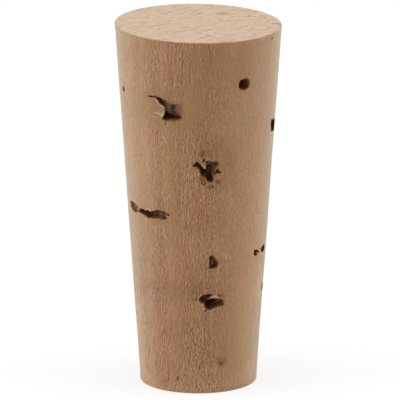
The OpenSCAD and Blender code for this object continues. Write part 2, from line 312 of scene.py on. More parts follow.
RAGGED_PIT = {"hollow": [
    ([(0.1, 12), (1.4, 12.2), (3.7, 12.42), (6.1, 12.52), (8.3, 12.57), (10.8, 12.6), (12.6, 12.48),
      (11.8, 12.3), (10.6, 12.14), (9.1, 12), (8.6, 11.8), (7.2, 11.6), (5.8, 11.4), (3.3, 11.42),
      (1.4, 11.54), (0.3, 11.74)], 0.9, 0.3, 0.7),
    ([(8.6, 11.82), (10, 11.95), (12.2, 12.07), (15, 12.02), (18.5, 11.92), (21.4, 11.84),
      (22.8, 11.7), (22.6, 11.42), (23.8, 11.06), (21, 10.96), (18.6, 10.94), (15.2, 10.74),
      (11.8, 10.56), (8.2, 10.5), (6.2, 10.74), (4.8, 11.1), (5.6, 11.5), (7.3, 11.75)], 1, 0.3, 0.62),
    ([(7.5, 11.65), (9.5, 11.88), (12.2, 12), (15.5, 11.95), (17.8, 11.8), (17.6, 11.4), (16, 11.15),
      (12.5, 10.9), (9, 10.72), (6.6, 10.8), (5.3, 11.1)], 1.6, 0.4, 0.84),
    ([(5.5, 10.62), (5.5, 10.4), (7.2, 10.38), (7.3, 10.62)], 0.3, 0.1, 0.65),
    ([(-2.8, 12.1), (-2.6, 11.78), (-1, 11.72), (-0.8, 12), (-1.8, 12.16)], 0.2, 0.15, 0.45),
], "crust": [
    ([(20.4, 11.7), (21.6, 11.3)], 0.85, 0.1, 0.06),
], "dust": [
    ([(6.2, 12.2), (7.6, 11.98)], 0.35, 0.12, 0.08),
    ([(17.6, 11.75), (20.4, 11.5)], 0.4, 0.2, 0.12),
], "stain": [
    ([(17.8, 12.34), (19.6, 12.25), (20.8, 12.35)], 0.85, 0.12, 0.11),
    ([(21.8, 12.35), (22.6, 12.15), (23.2, 11.9), (23.4, 11.5)], 0.6, 0.15, 0.1),
    ([(21.5, 12.7), (22.6, 12.4)], 0.35, 0.2, 0.1),
], "pale": [
    ([(11.6, 12.16), (13, 12.26), (15, 12.2), (17.4, 12.1)], 0.75, 0.12, 0.08),
    ([(3.4, 11.3), (3.8, 11), (5.2, 10.6)], 0.6, 0.1, 0.07),
    ([(3, 12.5), (0.4, 12.25), (-0.6, 11.95), (-0.1, 11.6)], 0.45, 0.1, 0.06),
    ([(8, 10.45), (12, 10.55), (16, 10.75)], 0.4, 0.15, 0.08),
]}

DROP_PIT = {"hollow": [
    ([(9.4, 17.3), (10.6, 17.42), (12.2, 17.42), (13.2, 17.3), (13.9, 17.14), (14.6, 16.98),
      (15.4, 16.82), (17.2, 16.6), (17.8, 16.3), (16.6, 15.96), (13.6, 15.78), (11.2, 15.7),
      (8.7, 15.78), (8.6, 15.98), (9.6, 16.3), (9.6, 16.75), (9, 17), (8.9, 17.2)], 0.8, 0.4, 0.64),
], "crust": [
    ([(9.6, 17.3), (11.2, 17.3), (11.3, 16.9), (10.6, 16.4), (12.4, 15.96), (11.2, 15.86), (9.4, 16.2),
      (9.9, 16.8)], 0.9, 0.12),
    ([(12.2, 17.2), (12, 16.8), (12.1, 16.4)], 0.8, 0.12, 0.08),
], "lump": [
    ([(11.6, 16.95), (13, 16.9), (13.2, 16.25), (11.8, 16.2)], 0.85),
    ([(8.4, 16.3), (9.8, 16.3), (9.8, 15.95), (8.4, 15.9)], 0.7),
], "dust": [
    ([(11.6, 16.95), (13, 16.9), (13.2, 16.25), (11.8, 16.2)], 1, 0.14),
    ([(8.8, 16.2), (9.8, 16.15)], 0.7, 0.12, 0.12),
    ([(9.6, 17.3), (11, 17.35)], 0.5, 0.12, 0.08),
    ([(11.3, 17.2), (13.2, 17.2), (14.4, 16.9), (12.4, 16.85)], 0.55, 0.15),
    ([(14.8, 16.5), (16.2, 16.4)], 0.25, 0.15, 0.1),
], "pale": [
    ([(8, 16.7), (8.4, 16.4), (8.8, 16.1)], 0.3, 0.1, 0.07),
]}

TWIN_HOLES = {"hollow": [
    ([(54.9, 17.02), (55.1, 16.8), (55.7, 16.62), (56.7, 16.52), (58.2, 16.46), (60, 16.44),
      (60.5, 16.54), (59.4, 16.64), (58.6, 16.76), (59.4, 16.86), (61, 16.74), (62.8, 16.7),
      (63.4, 16.76), (62.4, 16.9), (60.8, 16.99), (59.4, 17.04), (57.6, 17.14), (56, 17.2),
      (55.2, 17.14)], 1.2, 0.2, 0.88, 0.035),
    ([(68.2, 16.98), (68.4, 16.78), (69.4, 16.6), (70.8, 16.48), (72, 16.42), (73.6, 16.5),
      (75.6, 16.62), (77, 16.8), (76.2, 16.94), (74.4, 17.1), (72.4, 17.18), (70.6, 17.14),
      (69, 17.08)], 1.2, 0.2, 1, 0.085),
], "stain": [
    ([(65.8, 16.1), (68, 16.05), (71, 15.95)], 0.5, 0.2, 0.1),
], "pale": [
    ([(52.6, 17.1), (53.2, 16.7)], 0.25, 0.15, 0.1),
]}

EDGE_SLOT = {"hollow": [
    ([(70.6, 32.8), (71.1, 32.35), (71.6, 31.9), (72.4, 31.6), (73.8, 31.42), (77, 31.34), (82, 31.28),
      (86, 31.2), (88.6, 31.3), (89, 31.9), (88, 32.2), (84, 32.34), (80, 32.5), (76, 32.64),
      (73, 32.76)], 1.5, 0.15, 1.1, 0.115),
], "pale": [
    ([(69, 32.2), (70, 31.6), (71.4, 31.28), (73.4, 31.1)], 0.5, 0.12, 0.08),
]}

PINHOLE = {"hollow": [
    ([(39.4, 38.46), (38.8, 38.82), (37.3, 39.1), (34.9, 39.15), (32.2, 39.08), (30.5, 38.88),
      (30.1, 38.48), (30.7, 38.12), (32.3, 37.88), (34.6, 37.77), (36.7, 37.82),
      (38.5, 38.06)], 1.8, 0.25, 0.48, 0.06),
]}

NEAR_PITS = [
    TORN_PIT, STAR_PIT, GROOVE, RAGGED_PIT, DROP_PIT, TWIN_HOLES, EDGE_SLOT, PINHOLE,
]

# The smallest pores and marks of the front, each with its kind: every one is a pit of its own
SMALL_PORES = [
    ("hollow", [(77.5, 12.2), (77.5, 11.5), (80, 11.3), (84.5, 11.4),
     (84.5, 12.2)], 0.4, 0.15, 0.85, 0.04),
    ("hollow", [(-71.2, 36.98), (-71.6, 36.75), (-70.8, 36.5), (-69, 36.48), (-67.8, 36.72),
     (-69, 36.98)], 0.3, 0.15, 0.55, 0.04),
    ("stain", [(-69, 36.8), (-66.6, 36.74)], 0.35, 0.14, 0.12),
    ("stain", [(-74, 36), (-75.5, 35.2), (-75.8, 34.5)], 0.5, 0.25, 0.22),
    ("pale", [(-78.4, 36.2), (-79.4, 35.2), (-79.6, 34.2)], 0.3, 0.15, 0.2),
    ("pale", [(-66.6, 36.3), (-66, 36.2)], 0.5, 0.1, 0.08),
    ("pale", [(-63.4, 36.1), (-62.6, 36.05)], 0.5, 0.1, 0.08),
    ("hollow", [(61.3, 43.4), (61.3, 43.15), (62.6, 43.1), (62.7, 43.4)], 0.3, 0.1, 0.7),
    ("stain", [(62, 43.2), (62.3, 42.6)], 0.3, 0.1, 0.05),
    ("stain", [(20.2, 4), (21.6, 3.95), (23.4, 3.95), (25.4, 4.1), (24.8, 3.8), (23.8, 3.45),
     (22, 3.35), (20.8, 3.5)], 0.58, 0.15),
    ("stain", [(-59.5, 14), (-60.2, 13), (-61.5, 12), (-64, 11)], 0.22, 0.15, 0.06),
]

# The three brown specks that stand out: turn, height, half width and strength
SPECKS = [(-20.5, 1.8, 0.12, 1.0), (1.0, 3.3, 0.1, 0.7), (22.0, 3.6, 0.1, 0.6)]
# The soft edge of every speck
SPECK_SOFT = 0.08
# Fainter ones, scattered over the whole wall by a seeded draw: how many, and their limits
FAINT_SPECKS = 40
FAINT_SEED = 71
FAINT_TURNS = (-90, 270)
FAINT_HALF = (0.06, 0.1)
FAINT_STRENGTH = (0.35, 0.5)
# How far the faint ones stay from both ends and from every pit, in millimetres
FAINT_RIM = 1
FAINT_GAP = 1.2

# Outlines of the far side's pits, as shares of their width and height
STAR = [(-0.49, 0.22), (-0.34, 0.22), (-0.28, 0.07), (-0.24, -0.09), (-0.17, -0.25), (-0.07, -0.25),
        (0.03, -0.45), (0.16, -0.47), (0.24, -0.36), (0.26, -0.14), (0.34, -0.13), (0.51, -0.05),
        (0.42, 0.08), (0.34, 0.12), (0.28, 0), (0.29, 0.18), (0.35, 0.4), (0.16, 0.49), (-0.05, 0.5),
        (-0.06, 0.19), (-0.12, 0.12), (-0.24, 0.29), (-0.32, 0.41), (-0.42, 0.36)]
RAGGED = [(-0.41, 0.2), (-0.37, 0.05), (-0.3, -0.02), (-0.22, 0), (-0.21, -0.2), (-0.16, -0.31),
          (-0.09, -0.49), (0.05, -0.47), (0.18, -0.37), (0.31, -0.29), (0.46, -0.3), (0.59, -0.25),
          (0.51, -0.05), (0.49, 0.14), (0.31, 0.18), (0.09, 0.25), (-0.04, 0.3), (0.08, 0.39),
          (0.07, 0.49), (-0.11, 0.5), (-0.25, 0.47), (-0.34, 0.35)]
DROP = [(-0.44, 0.35), (-0.4, 0.06), (-0.32, -0.18), (-0.24, -0.44), (0.18, -0.38), (0.5, -0.29),
        (0.53, -0.06), (0.26, 0.15), (0.14, 0.38), (-0.06, 0.56), (-0.31, 0.5)]
SLOT = [(-0.5, 0.48), (-0.46, 0), (-0.42, -0.35), (-0.29, -0.5), (0.05, -0.5), (0.37, -0.47),
        (0.5, -0.18), (0.48, 0.18), (0.05, 0.36), (-0.27, 0.47)]
HOOK = [(-0.4, 0.11), (-0.36, -0.34), (-0.11, -0.5), (0.22, -0.55), (0.24, -0.17), (0.6, -0.22),
        (0.5, 0.06), (0.16, 0.25), (-0.16, 0.45)]
BEAN = [(-0.5, 0.1), (-0.42, -0.28), (-0.12, -0.5), (0.2, -0.38), (0.45, -0.3), (0.52, 0.06),
        (0.3, 0.42), (0, 0.46), (-0.3, 0.4)]

# The far pits: turn, height, width, height of the opening, depth and outline
FAR_PITS = [
    (104, 9.5, 2.6, 0.9, 1.0, BEAN),
    (119, 24.5, 3.2, 1.0, 1.2, SLOT),
    (131, 37, 1.2, 1.3, 1.4, DROP),
    (152, 30, 1.5, 1.2, 1.6, BEAN),
    (163, 8, 1.3, 1.6, 1.5, DROP),
    (177, 20, 3.0, 2.1, 1.8, RAGGED),
    (196, 34, 2.6, 2.2, 1.8, STAR),
    (207, 13.5, 1.2, 1.0, 1.5, BEAN),
    (224, 26.5, 1.8, 1.0, 1.3, HOOK),
    (243, 9, 3.0, 0.9, 1.0, BEAN),
    (254, 33.5, 3.4, 0.9, 1.1, SLOT),
]
# A far pit's wall, its stain's size as shares of the pit's, and that stain's strength and
# soft edge
FAR_WALL = 0.3
FAR_STAIN_WIDE, FAR_STAIN_TALL = 1.25, 1.3
FAR_STAIN = (0.18, 0.35)

# Stains on the wide end, as outlines of X and Y in millimetres with their numbers
END_STAINS = [
    ([(2.2, 4.96), (2.6, 5.5), (3.1, 5.9), (3.6, 5.3), (4, 5.08), (3.5, 4.74), (2.96, 4.3),
      (2.4, 4.7)], 0.45, 0.3),
    ([(2.9, 5.4), (3.5, 5.1)], 0.45, 0.25, 0.12),
    ([(5.2, 6.9), (5.7, 6.8), (5.6, 6), (5.2, 6.3)], 0.35, 0.3),
    ([(5.5, 6.5), (5.96, 5), (6.4, 3.8)], 0.2, 0.2, 0.1),
    ([(7.3, 1.8), (7.7, 1.7), (7.6, 1.1), (7.3, 1.3)], 0.4, 0.25),
    ([(8.8, 0.54), (9.27, 0.27), (9.8, 0.05)], 0.7, 0.18, 0.1),
    ([(1.02, -5.9), (1.25, -5.9), (1.25, -6.4), (1.03, -6.3)], 0.6, 0.12),
    ([(1.65, -6.2), (1.78, -6.3), (1.75, -6.7)], 0.5, 0.1, 0.05),
    ([(-0.27, -4.35), (0.09, -4.92), (0.44, -5)], 0.25, 0.15, 0.06),
    ([(0.8, -5.67), (1.63, -5.32), (2.1, -4.49)], 0.3, 0.15, 0.06),
    ([(-0.75, -0.23), (-0.15, 0.26), (0.68, 1.32), (1.4, 1.17)], 0.28, 0.2, 0.08),
    ([(2.36, 1.93), (2.95, 1.47), (3.43, 0.79)], 0.22, 0.2, 0.08),
    ([(-8.1, -2.95), (-7.4, -2.1), (-6, -1.6)], 0.28, 0.25, 0.08),
    ([(-4.1, -1.7), (-3.1, -0.43), (-2.4, -0.08)], 0.28, 0.25, 0.08),
    ([(-4.8, -3.2), (-3.8, -2.1)], 0.25, 0.2, 0.08),
]

# Turn of the direction in which the bark grew, and how far its rings lean out with height
BARK_TURN = 45.0
RING_LEAN = 0.018
# How far the thin threads of the grain sway sideways, in millimetres
THREAD_SWAY = 0.5
# Growth rings along the bark's radius: place in millimetres, then how light, how red and how
# strongly stroked they are
RING_SPAN = 24.0
RING_PLACES = [
    (-11.0, 0.50, 0.50, 0.50), (-9.6, 0.60, 0.42, 0.40), (-8.6, 0.42, 0.60, 0.50),
    (-7.4, 0.58, 0.45, 0.70), (-6.3, 0.45, 0.62, 0.60), (-5.3, 0.55, 0.50, 0.40),
    (-4.4, 0.46, 0.60, 0.35), (-3.4, 0.60, 0.38, 0.35), (-2.5, 0.57, 0.34, 0.30),
    (-1.9, 0.44, 0.52, 0.40), (-1.2, 0.50, 0.52, 0.40), (-0.6, 0.66, 0.32, 0.35),
    (0.2, 0.54, 0.52, 0.55), (0.9, 0.44, 0.68, 0.75), (1.4, 0.38, 0.74, 0.80),
    (1.9, 0.48, 0.60, 0.75), (2.4, 0.64, 0.38, 0.65), (3.0, 0.54, 0.44, 0.65),
    (3.7, 0.50, 0.50, 0.78), (4.6, 0.52, 0.44, 0.80), (5.3, 0.55, 0.42, 0.80),
    (6.0, 0.45, 0.58, 0.75), (6.7, 0.44, 0.60, 0.60), (7.4, 0.50, 0.50, 0.42),
    (8.4, 0.54, 0.46, 0.28), (9.6, 0.48, 0.55, 0.30), (11.0, 0.50, 0.50, 0.50),
]
# Thin seams between rings: place along the bark's radius, half width, lightness, and the
# heights between which they show
SEAMS = [
    (1.59, 0.07, -0.5, 18, 33), (3.90, 0.06, -0.45, 22, 32), (4.05, 0.06, 0.4, 22, 32),
    (3.77, 0.06, 0.6, 37, 43.5), (4.62, 0.06, -0.6, 39, 43.5), (5.32, 0.07, -0.6, 39, 42.5),
    (7.14, 0.06, -0.5, 41, 43.8), (3.3, 0.05, -0.5, 40.5, 43.8),
]


def box(left, right, low, high):
    """The outline of a level rectangle: its turns from left to right, and its heights."""
    return [(left, high), (right, high), (right, low), (left, low)]


# Broad tones of the front, by the way they lean: redder or yellower cork, lighter or darker,
# and fewer strokes (calm) or more of them (busy). The light tones along the narrow end, from
# height 0 up to about 3.6 mm, are painted bounce light from the floor. Each is an outline,
# its strength and its soft edge, and then the half width where the outline is a line.
TONES = {"rose": [
    (box(26, 46, 18, 21.4), 0.3, 0.8), (box(4, 18, 0, 1.4), 0.5, 0.5), (box(-66, -42, 14, 18), 0.3, 1),
    (box(-12, 20, 0, 1.3), 0.5, 0.4),
    ([(-14, 18), (-6, 18.6), (-4, 13), (-12, 12.6)], 0.7, 0.8),
    ([(-7, 25), (6, 24.6), (7, 19), (-5, 19.4)], 0.7, 0.9),
    ([(8, 24), (34, 22.4), (44, 19.5), (30, 18), (10, 20.5)], 0.45, 1.2),
    ([(-48, 11), (-30, 14), (-10, 14), (-8, 4), (-12, 0), (-46, 0)], 0.5, 1),
    ([(-2, 25), (20, 26), (24, 22), (20, 20), (0, 20)], 0.4, 1),
    ([(22, 21), (46, 21), (42, 18), (24, 18)], 0.4, 1),
    ([(-46, 18), (-20, 19.4), (-4, 17), (-6, 15), (-44, 15)], 0.4, 1),
    ([(-60, 43), (-26, 43), (-28, 1), (-60, 1)], 0.25, 1.5),
    ([(-50, 43.5), (-16, 43.5), (-18, 38.6), (-48, 38)], 0.3, 1),
], "olive": [
    (box(28, 38, 22.6, 24.6), 0.7, 0.8), (box(-10, 30, 27.6, 29.4), 0.7, 0.8),
    (box(-6, 12, 41, 43.5), 0.4, 0.7), (box(68, 76, 14, 21), 0.4, 0.8),
    (box(14, 26, 3.6, 5.4), 0.35, 0.6), (box(66, 80, 0.5, 38), 0.55, 0.8),
    ([(-60, 36.8), (-40, 37), (-28, 37.6), (-14, 37.8), (-2, 37.2), (-2, 34.5), (-8, 33), (-24, 33.2),
      (-34, 34), (-58, 35)], 0.8, 0.7),
    ([(-58, 30), (-24, 30), (-12, 27), (-20, 25.4), (-52, 26)], 0.5, 1),
    ([(14, 40), (24, 40), (30, 36), (20, 35)], 0.6, 1.2),
    ([(14, 9), (40, 9), (62, 8), (60, 0), (20, 0)], 0.8, 1.4),
    ([(-66, 16), (-44, 15), (-44, 6), (-64, 7)], 0.4, 1.2),
    ([(-20, 13.4), (4, 13.2), (4, 11.6), (-20, 11.6)], 0.6, 0.7),
    ([(-78, 38.2), (-52, 38), (-52, 35.4), (-78, 35.4)], 0.5, 0.8),
    ([(29, 25), (50, 24.6), (48, 22.8), (32, 22.8)], 0.35, 0.8),
    ([(64, 20), (76, 20), (76, 2), (64, 5)], 0.5, 1),
    ([(20, 5.6), (40, 5), (40, 0.6), (24, 0.6)], 0.45, 0.9),
    ([(-30, 4.4), (-16, 4.4), (-16, 1.6), (-28, 1.6)], 0.4, 0.8),
    ([(30, 14), (60, 14), (60, 9), (30, 11)], 0.35, 1),
    ([(34, 40), (52, 39), (50, 36.6), (36, 37.4)], 0.4, 0.8),
    ([(17.5, 4.6), (28, 4.7), (28, 3.1), (18, 3.1)], 0.9, 0.4),
    ([(8.5, 18.4), (15, 17.5), (15, 15.6), (8.5, 15.6)], 0.9, 0.4),
    ([(-77, 37.3), (-68, 37.4), (-68, 35.6), (-77, 35.6)], 0.8, 0.4),
], "light": [
    # The boxes and the band from height 0 up to about 3.6 mm are painted bounce light from the floor
    (box(-18, 30, 0, 3.6), 0.5, 0.8), (box(-14, 20, 0, 1.1), 0.7, 0.4),
    (box(-6, 8, 0, 1.2), 0.35, 0.5), (box(54, 76, 0, 3.2), 0.4, 0.7), (box(24, 76, 1, 3), 0.25, 0.5),
    (box(-75, -52, 0, 10), 0.45, 1), (box(-74, -52, 38, 43.6), 0.2, 1), (box(-8, 7, 0, 1.3), 0.3, 0.5),
    (box(60, 76, 9.5, 13.4), 0.35, 0.8), (box(-76, -62, 1, 4), 0.4, 0.8),
    (box(-10, -1, 9.8, 11), 0.4, 0.6), (box(22, 30, 22, 27.5), 0.3, 0.9),
    ([(-60, 0.9), (-20, 0.9), (20, 1.2), (44, 2.6), (60, 2), (60, 0), (-60, 0)], 0.6, 0.7),
    ([(38, 14), (75, 14), (75, 1), (38, 3)], 0.4, 1.2),
    ([(-8, 20), (6, 20.4), (22, 19.6), (20, 17), (0, 16.6), (-9, 17.6)], 0.45, 0.9),
    ([(-74, 33), (-50, 33), (-30, 30), (-28, 25), (-74, 25)], 0.25, 1.2),
    ([(-12, 28), (-8, 28), (-6, 22), (-10, 22)], 0.35, 0.8),
], "dark": [
    (box(-76, -66, 34, 37.6), 0.4, 0.8), (box(-40, -18, 37.4, 40), 0.25, 0.8),
    (box(58, 76, 31.4, 33.6), 0.6, 0.8), (box(-34, -12, 21.4, 24), 0.3, 0.8),
    ([(-46, 13.4), (-30, 13.2), (-28, 10), (-46, 10)], 0.25, 0.8),
    ([(-58, 13.6), (-40, 13.4), (-15, 13.8), (18, 13.8), (20, 12.4), (-10, 12.2),
      (-56, 11.8)], 0.5, 0.7),
    ([(-4, 31), (14, 31.8), (32, 31), (34, 29.4), (28, 26), (14, 25.4), (10, 28), (0, 29.4)], 0.5, 1),
    ([(8, 43), (42, 43), (42, 37), (30, 37.4), (12, 39.8)], 0.35, 1),
    ([(-46, 37.2), (-24, 37.8), (-16, 34), (-30, 33.6), (-46, 34.4)], 0.25, 0.8),
    ([(-36, 9), (-18, 8.6), (-18, 6.6), (-34, 6.4)], 0.3, 0.7),
    ([(-33, 37.8), (-20, 37.4), (-21, 35.4), (-33, 35.8)], 0.45, 0.8),
    ([(52, 43.4), (74, 43.4), (74, 33.4), (52, 34)], 0.2, 1),
    ([(25.4, 42), (24.5, 39.5), (26, 36)], 0.5, 0.12, 0.05),
    ([(26.5, 34.6), (25, 31.4), (27.5, 29), (29, 27), (28, 25.4)], 0.6, 0.12, 0.05),
    ([(18.3, 4.25), (22.5, 4.15), (27, 4.35), (26.5, 3.75), (23.5, 3.3), (19.4, 3.4)], 1.5, 0.25),
    ([(-9, 14.8), (-2, 14.2), (2, 12.6), (-4, 11.9), (-9, 13)], 0.5, 0.6),
    ([(29, 31.6), (35, 31.5), (35, 30.4), (29, 30.5)], 0.35, 0.5),
    ([(-67, 11), (-58, 12.4), (-48, 13.4), (-36, 13.6), (-24, 12.4), (-19, 11.4)], 0.35, 0.5, 0.35),
    ([(19, 3.6), (30, 3.8), (44, 3.9), (52, 4.8), (57, 7), (60, 10)], 0.3, 0.35, 0.2),
    ([(-46, 2.8), (-38, 2.2), (-36, 3.4), (-44, 4.2)], 0.35, 0.6),
], "calm": [
    (box(35, 62, 8, 20), 0.45, 1),
    ([(-58, 36.7), (-40, 37), (-26, 37.8), (-6, 38.2), (0, 36.5), (0, 34.2), (-10, 32.6), (-26, 32.8),
      (-56, 33.6)], 0.55, 0.8),
    ([(18, 9.4), (60, 9.4), (60, 0.5), (26, 0.5)], 0.5, 1),
    ([(-25, 31), (-16, 31), (-15, 4), (-26, 4)], 0.4, 0.8),
    ([(-6, 43), (4, 43), (5, 34), (-6, 34)], 0.45, 0.8),
], "busy": [
    (box(-80, -45, 0, 20), 0.8, 1.2), (box(-75, -50, 28, 44), 0.3, 1.2),
    (box(40, 56, 22, 32), 0.25, 0.8),
    ([(-14, 9), (4, 9), (6, 3), (-14, 3)], 0.35, 0.8),
    ([(-8, 31), (16, 31), (14, 24), (-10, 24)], 0.2, 0.8),
    ([(6, 41), (36, 41), (36, 36), (8, 36)], 0.25, 0.8),
]}

# How far the torn pit's floor runs in behind the flap on its left, in millimetres
TORN_UNDERCUT = 0.45
# How far a pit's effect reaches past its outlines, and how far its finer faces do
PIT_MARGIN = 0.5
CUT_MARGIN = 0.32
# How far an outline wanders, and over what length
OUTLINE_WANDER = 0.05
OUTLINE_WAVE = 0.3
# Share of an edge that is cut off at each corner of a rounded outline
CORNER_CUT = 0.25
# Unevenness of a pit's floor as a share of its depth, its length and that of its fine part,
# and how strong the fine part is
GRIT_SHARE = 0.3
GRIT_WAVE = 0.35
FINE_GRIT_WAVE = GRIT_WAVE / 2.5
FINE_GRIT = 0.3
# How far in a lining takes to set in, as a share of its hollow's wall, how far outside the
# rim it begins, and its strength at the rim
LINING_EDGE = 0.35
LINING_FADE = 0.04
RIM_LINING = 0.75
# Half the soft edge of a lump, and how much of the lining it covers
LUMP_EDGE = 0.12
LUMP_COVER = 0.75
# How mottled a mark is
MARK_MOTTLE = 0.15
# Seed of the first pit's noise, and how far apart the pits' seeds are
PIT_SEED = 100
SEED_STEP = 10
# Up to this depth, in millimetres, the wall's own unevenness counts too
SHALLOW = 0.05
# Length of the wall's uneven patches, drawn out upwards, their seed, and the height from an
# end at which they are full
DIP_WAVE = 2.6
DIP_SQUEEZE = (1, 1, 0.5)
DIP_SEED = 5
DIP_FADE = 1.0
# How far a tone's edge wanders as a share of its soft edge, over what length, its seed, how
# far its noise is shifted, and the most that a tone reaches past its soft edge
TONE_WANDER = 0.5
TONE_WAVE = 1.1
TONE_SEED = 31
TONE_SHIFT = 3.0
TONE_REACH = 0.5
# Which of the three tones each kind moves, and which way
TONE_MOVES = {"rose": (0, 0.5), "olive": (0, -0.5), "light": (1, 0.5), "dark": (1, -0.5),
              "calm": (2, -0.5), "busy": (2, 0.5)}
# How close to the wall, and to the wide end, a point belongs to it, in millimetres
WALL_BAND = 0.12
END_BAND = 0.02
# How far past an end's stain its finer faces reach
END_MARGIN = 0.4
# Where the end's colour sets in and is full, as shares of the rim's rounding
END_FROM, END_FULL = 0.02, 0.3
# The least radius by which a sideways move is turned into an angle, in millimetres
LEAST_RADIUS = 1.0
# How far from an end the pits and dips keep, as a share of the rim's rounding
RIM_REACH = 1.01
# Rows on each worn rim, and the height of an end's face as a share of a wall's
RIM_ROWS = 4
END_STEP = 1.3
# Lining and stain from which a face counts as crust
CRUST_FROM = 0.02
STAIN_FROM = 0.45
# Edges sharper than this are shaded as edges, in degrees
SHARP_FROM = 50
# Smaller rises than this, in millimetres, would divide by nothing
TINY = 1e-9
# How many values a random lattice holds, and how far a step along each axis moves in them
LATTICE_VALUES = 4096
LATTICE_STEPS = (1, 57, 1213)


# ---------------- fields and outlines


def ease(t):
    """3t^2 - 2t^3, which is level at 0 and at 1."""
    return t * t * (3 - 2 * t)


def smooth_step(low, high, x):
    """0 below low, 1 above high, and eased between them."""
    return ease(np.clip((x - low) / (high - low), 0, 1))


def lattice_noise(points, size, seed):
    """A smooth random field from -1 to 1 over points in space.

    A cubic lattice of the given size holds one random value at each corner. Between corners
    the values are blended along each axis with the eased distance.
    """
    values = np.random.default_rng(seed).uniform(-1, 1, LATTICE_VALUES)
    scaled = points / size
    cell = np.floor(scaled).astype(int)
    t = ease(scaled - cell)
    total = np.zeros(len(points))
    for corner in np.ndindex(2, 2, 2):
        pick = ((cell + corner) @ LATTICE_STEPS) % len(values)
        total += np.prod(np.where(corner, t, 1 - t), axis=1) * values[pick]
    return total


def rounded(ring, rounds=2):
    """A closed ring with every corner cut at a share of its edges, rounds times."""
    for _ in range(rounds):
        after = np.roll(ring, -1, axis=0)
        cut, keep = CORNER_CUT, 1 - CORNER_CUT
        ring = np.stack([keep * ring + cut * after, cut * ring + keep * after], 1)
        ring = ring.reshape(-1, 2)
    return ring


def gap_to_edges(points, start, end):
    """The shortest distance from each point to a set of straight edges."""
    edge = end - start
    offset = points[:, None] - start
    share = np.clip((offset * edge).sum(-1) / (edge * edge).sum(-1), 0, 1)
    return np.linalg.norm(offset - share[..., None] * edge, axis=-1).min(1)


def ring_distance(points, ring):
    """The signed distance to a closed ring, negative inside.

    Its size is the distance to the nearest edge. A point is inside where a level ray from it
    crosses the ring an odd number of times.
    """
    start, end = ring, np.roll(ring, -1, axis=0)
    x, y = points[:, :1], points[:, 1:]
    spans = (start[:, 1] > y) != (end[:, 1] > y)
    rise = end[:, 1] - start[:, 1]
    rise = np.where(np.abs(rise) < TINY, TINY, rise)
    at = (end[:, 0] - start[:, 0]) * (y - start[:, 1]) / rise + start[:, 0]
    inside = (spans & (x < at)).sum(1) % 2 == 1
    gap = gap_to_edges(points, start, end)
    return np.where(inside, -gap, gap)


def mark_distance(points, path, half):
    """The signed distance to a mark, negative inside.

    With a half width it is a stroke: the distance to its line, less the half width. Without
    one it is a closed ring.
    """
    if half:
        return gap_to_edges(points, path[:-1], path[1:]) - half[0]
    return ring_distance(points, path)


def listed(shapes):
    """Shapes one by one, each with its kind first."""
    return [(kind, *shape) for kind, group in shapes.items() for shape in group]


def outline_bounds(outlines):
    """The lowest and highest of both coordinates in some outlines."""
    spots = np.concatenate([np.array(outline, float) for outline in outlines])
    return spots.min(0), spots.max(0)


def shapes_bounds(shapes):
    """Lowest and highest turn and height of a pit's outlines."""
    return outline_bounds([outline for _, outline, *_ in listed(shapes)])


# ---------------- places on the wall


def wall_radius(sizes, height):
    """The wall's radius in millimetres at a height: a straight taper between the ends."""
    grow = (sizes.wide_r - sizes.narrow_r) / sizes.length
    return sizes.narrow_r / MM + grow * height


def end_height(sizes, x):
    """The height of the slanted wide end, in millimetres, from the distance towards +X."""
    return sizes.length / MM - sizes.slant * x


def turns_of(points):
    """The turn of each point about the axis, in degrees from -Y towards +X."""
    return np.degrees(np.arctan2(points[:, 0], -points[:, 1]))


def flat_scale(radius):
    """Millimetres to a degree of turn, and to a millimetre of height."""
    return np.array([math.radians(1) * radius, 1.0])


def near_box(turn, height, low, high, radius, margin):
    """Which places lie within a box of turns and heights, with a margin in millimetres."""
    spare = math.degrees(margin / radius)
    middle, half = (low[0] + high[0]) / 2, (high[0] - low[0]) / 2 + spare
    apart = (turn - middle + 180) % 360 - 180
    return (np.abs(apart) < half) & (height > low[1] - margin) & (height < high[1] + margin)


# ---------------- the pits together


def far_shapes(sizes, pit):
    """The shapes of a far pit: its scaled outline as a hollow, and a stain round it."""
    turn, height, wide, tall, deep, outline = pit
    degree = math.radians(1) * wall_radius(sizes, height)
    ring = np.array(outline) * (wide / degree, tall) + (turn, height)
    stained = (FAR_STAIN_WIDE * wide / degree, FAR_STAIN_TALL * tall)
    around = np.array(outline) * stained + (turn, height)
    return {"hollow": [(ring, deep, FAR_WALL, 1)], "stain": [(around, *FAR_STAIN)]}


def speck(turn, height, half, strength):
    """A brown speck as a pit of its own: a short upright stain, with coarser faces."""
    line = [(turn, height + half), (turn, height - half)]
    return {"stain": [(line, strength, SPECK_SOFT, half)]}, 0.0, False


def faint_specks(sizes, pits):
    """The faint specks, drawn evenly between their limits, without those near a pit."""
    draw = np.random.default_rng(FAINT_SEED)
    heights = (FAINT_RIM, sizes.length / MM - FAINT_RIM)
    low, high = zip(FAINT_TURNS, heights, FAINT_HALF, FAINT_STRENGTH)
    drawn = draw.uniform(low, high, (FAINT_SPECKS, 4))
    for shapes, *_ in pits:
        low, high = shapes_bounds(shapes)
        radius = wall_radius(sizes, low[1])
        drawn = drawn[~near_box(drawn[:, 0], drawn[:, 1], low, high, radius, FAINT_GAP)]
    return [speck(*values) for values in drawn.tolist()]


def all_pits(sizes):
    """Every pit as (shapes, undercut, whether its faces are the finest)."""
    pits = [(shapes, TORN_UNDERCUT if shapes is TORN_PIT else 0.0, True)
            for shapes in NEAR_PITS]
    pits += [({kind: [shape]}, 0.0, True) for kind, *shape in SMALL_PORES]
    pits += [speck(*values) for values in SPECKS]
    pits += [(far_shapes(sizes, pit), 0.0, False) for pit in FAR_PITS]
    return pits + faint_specks(sizes, pits)


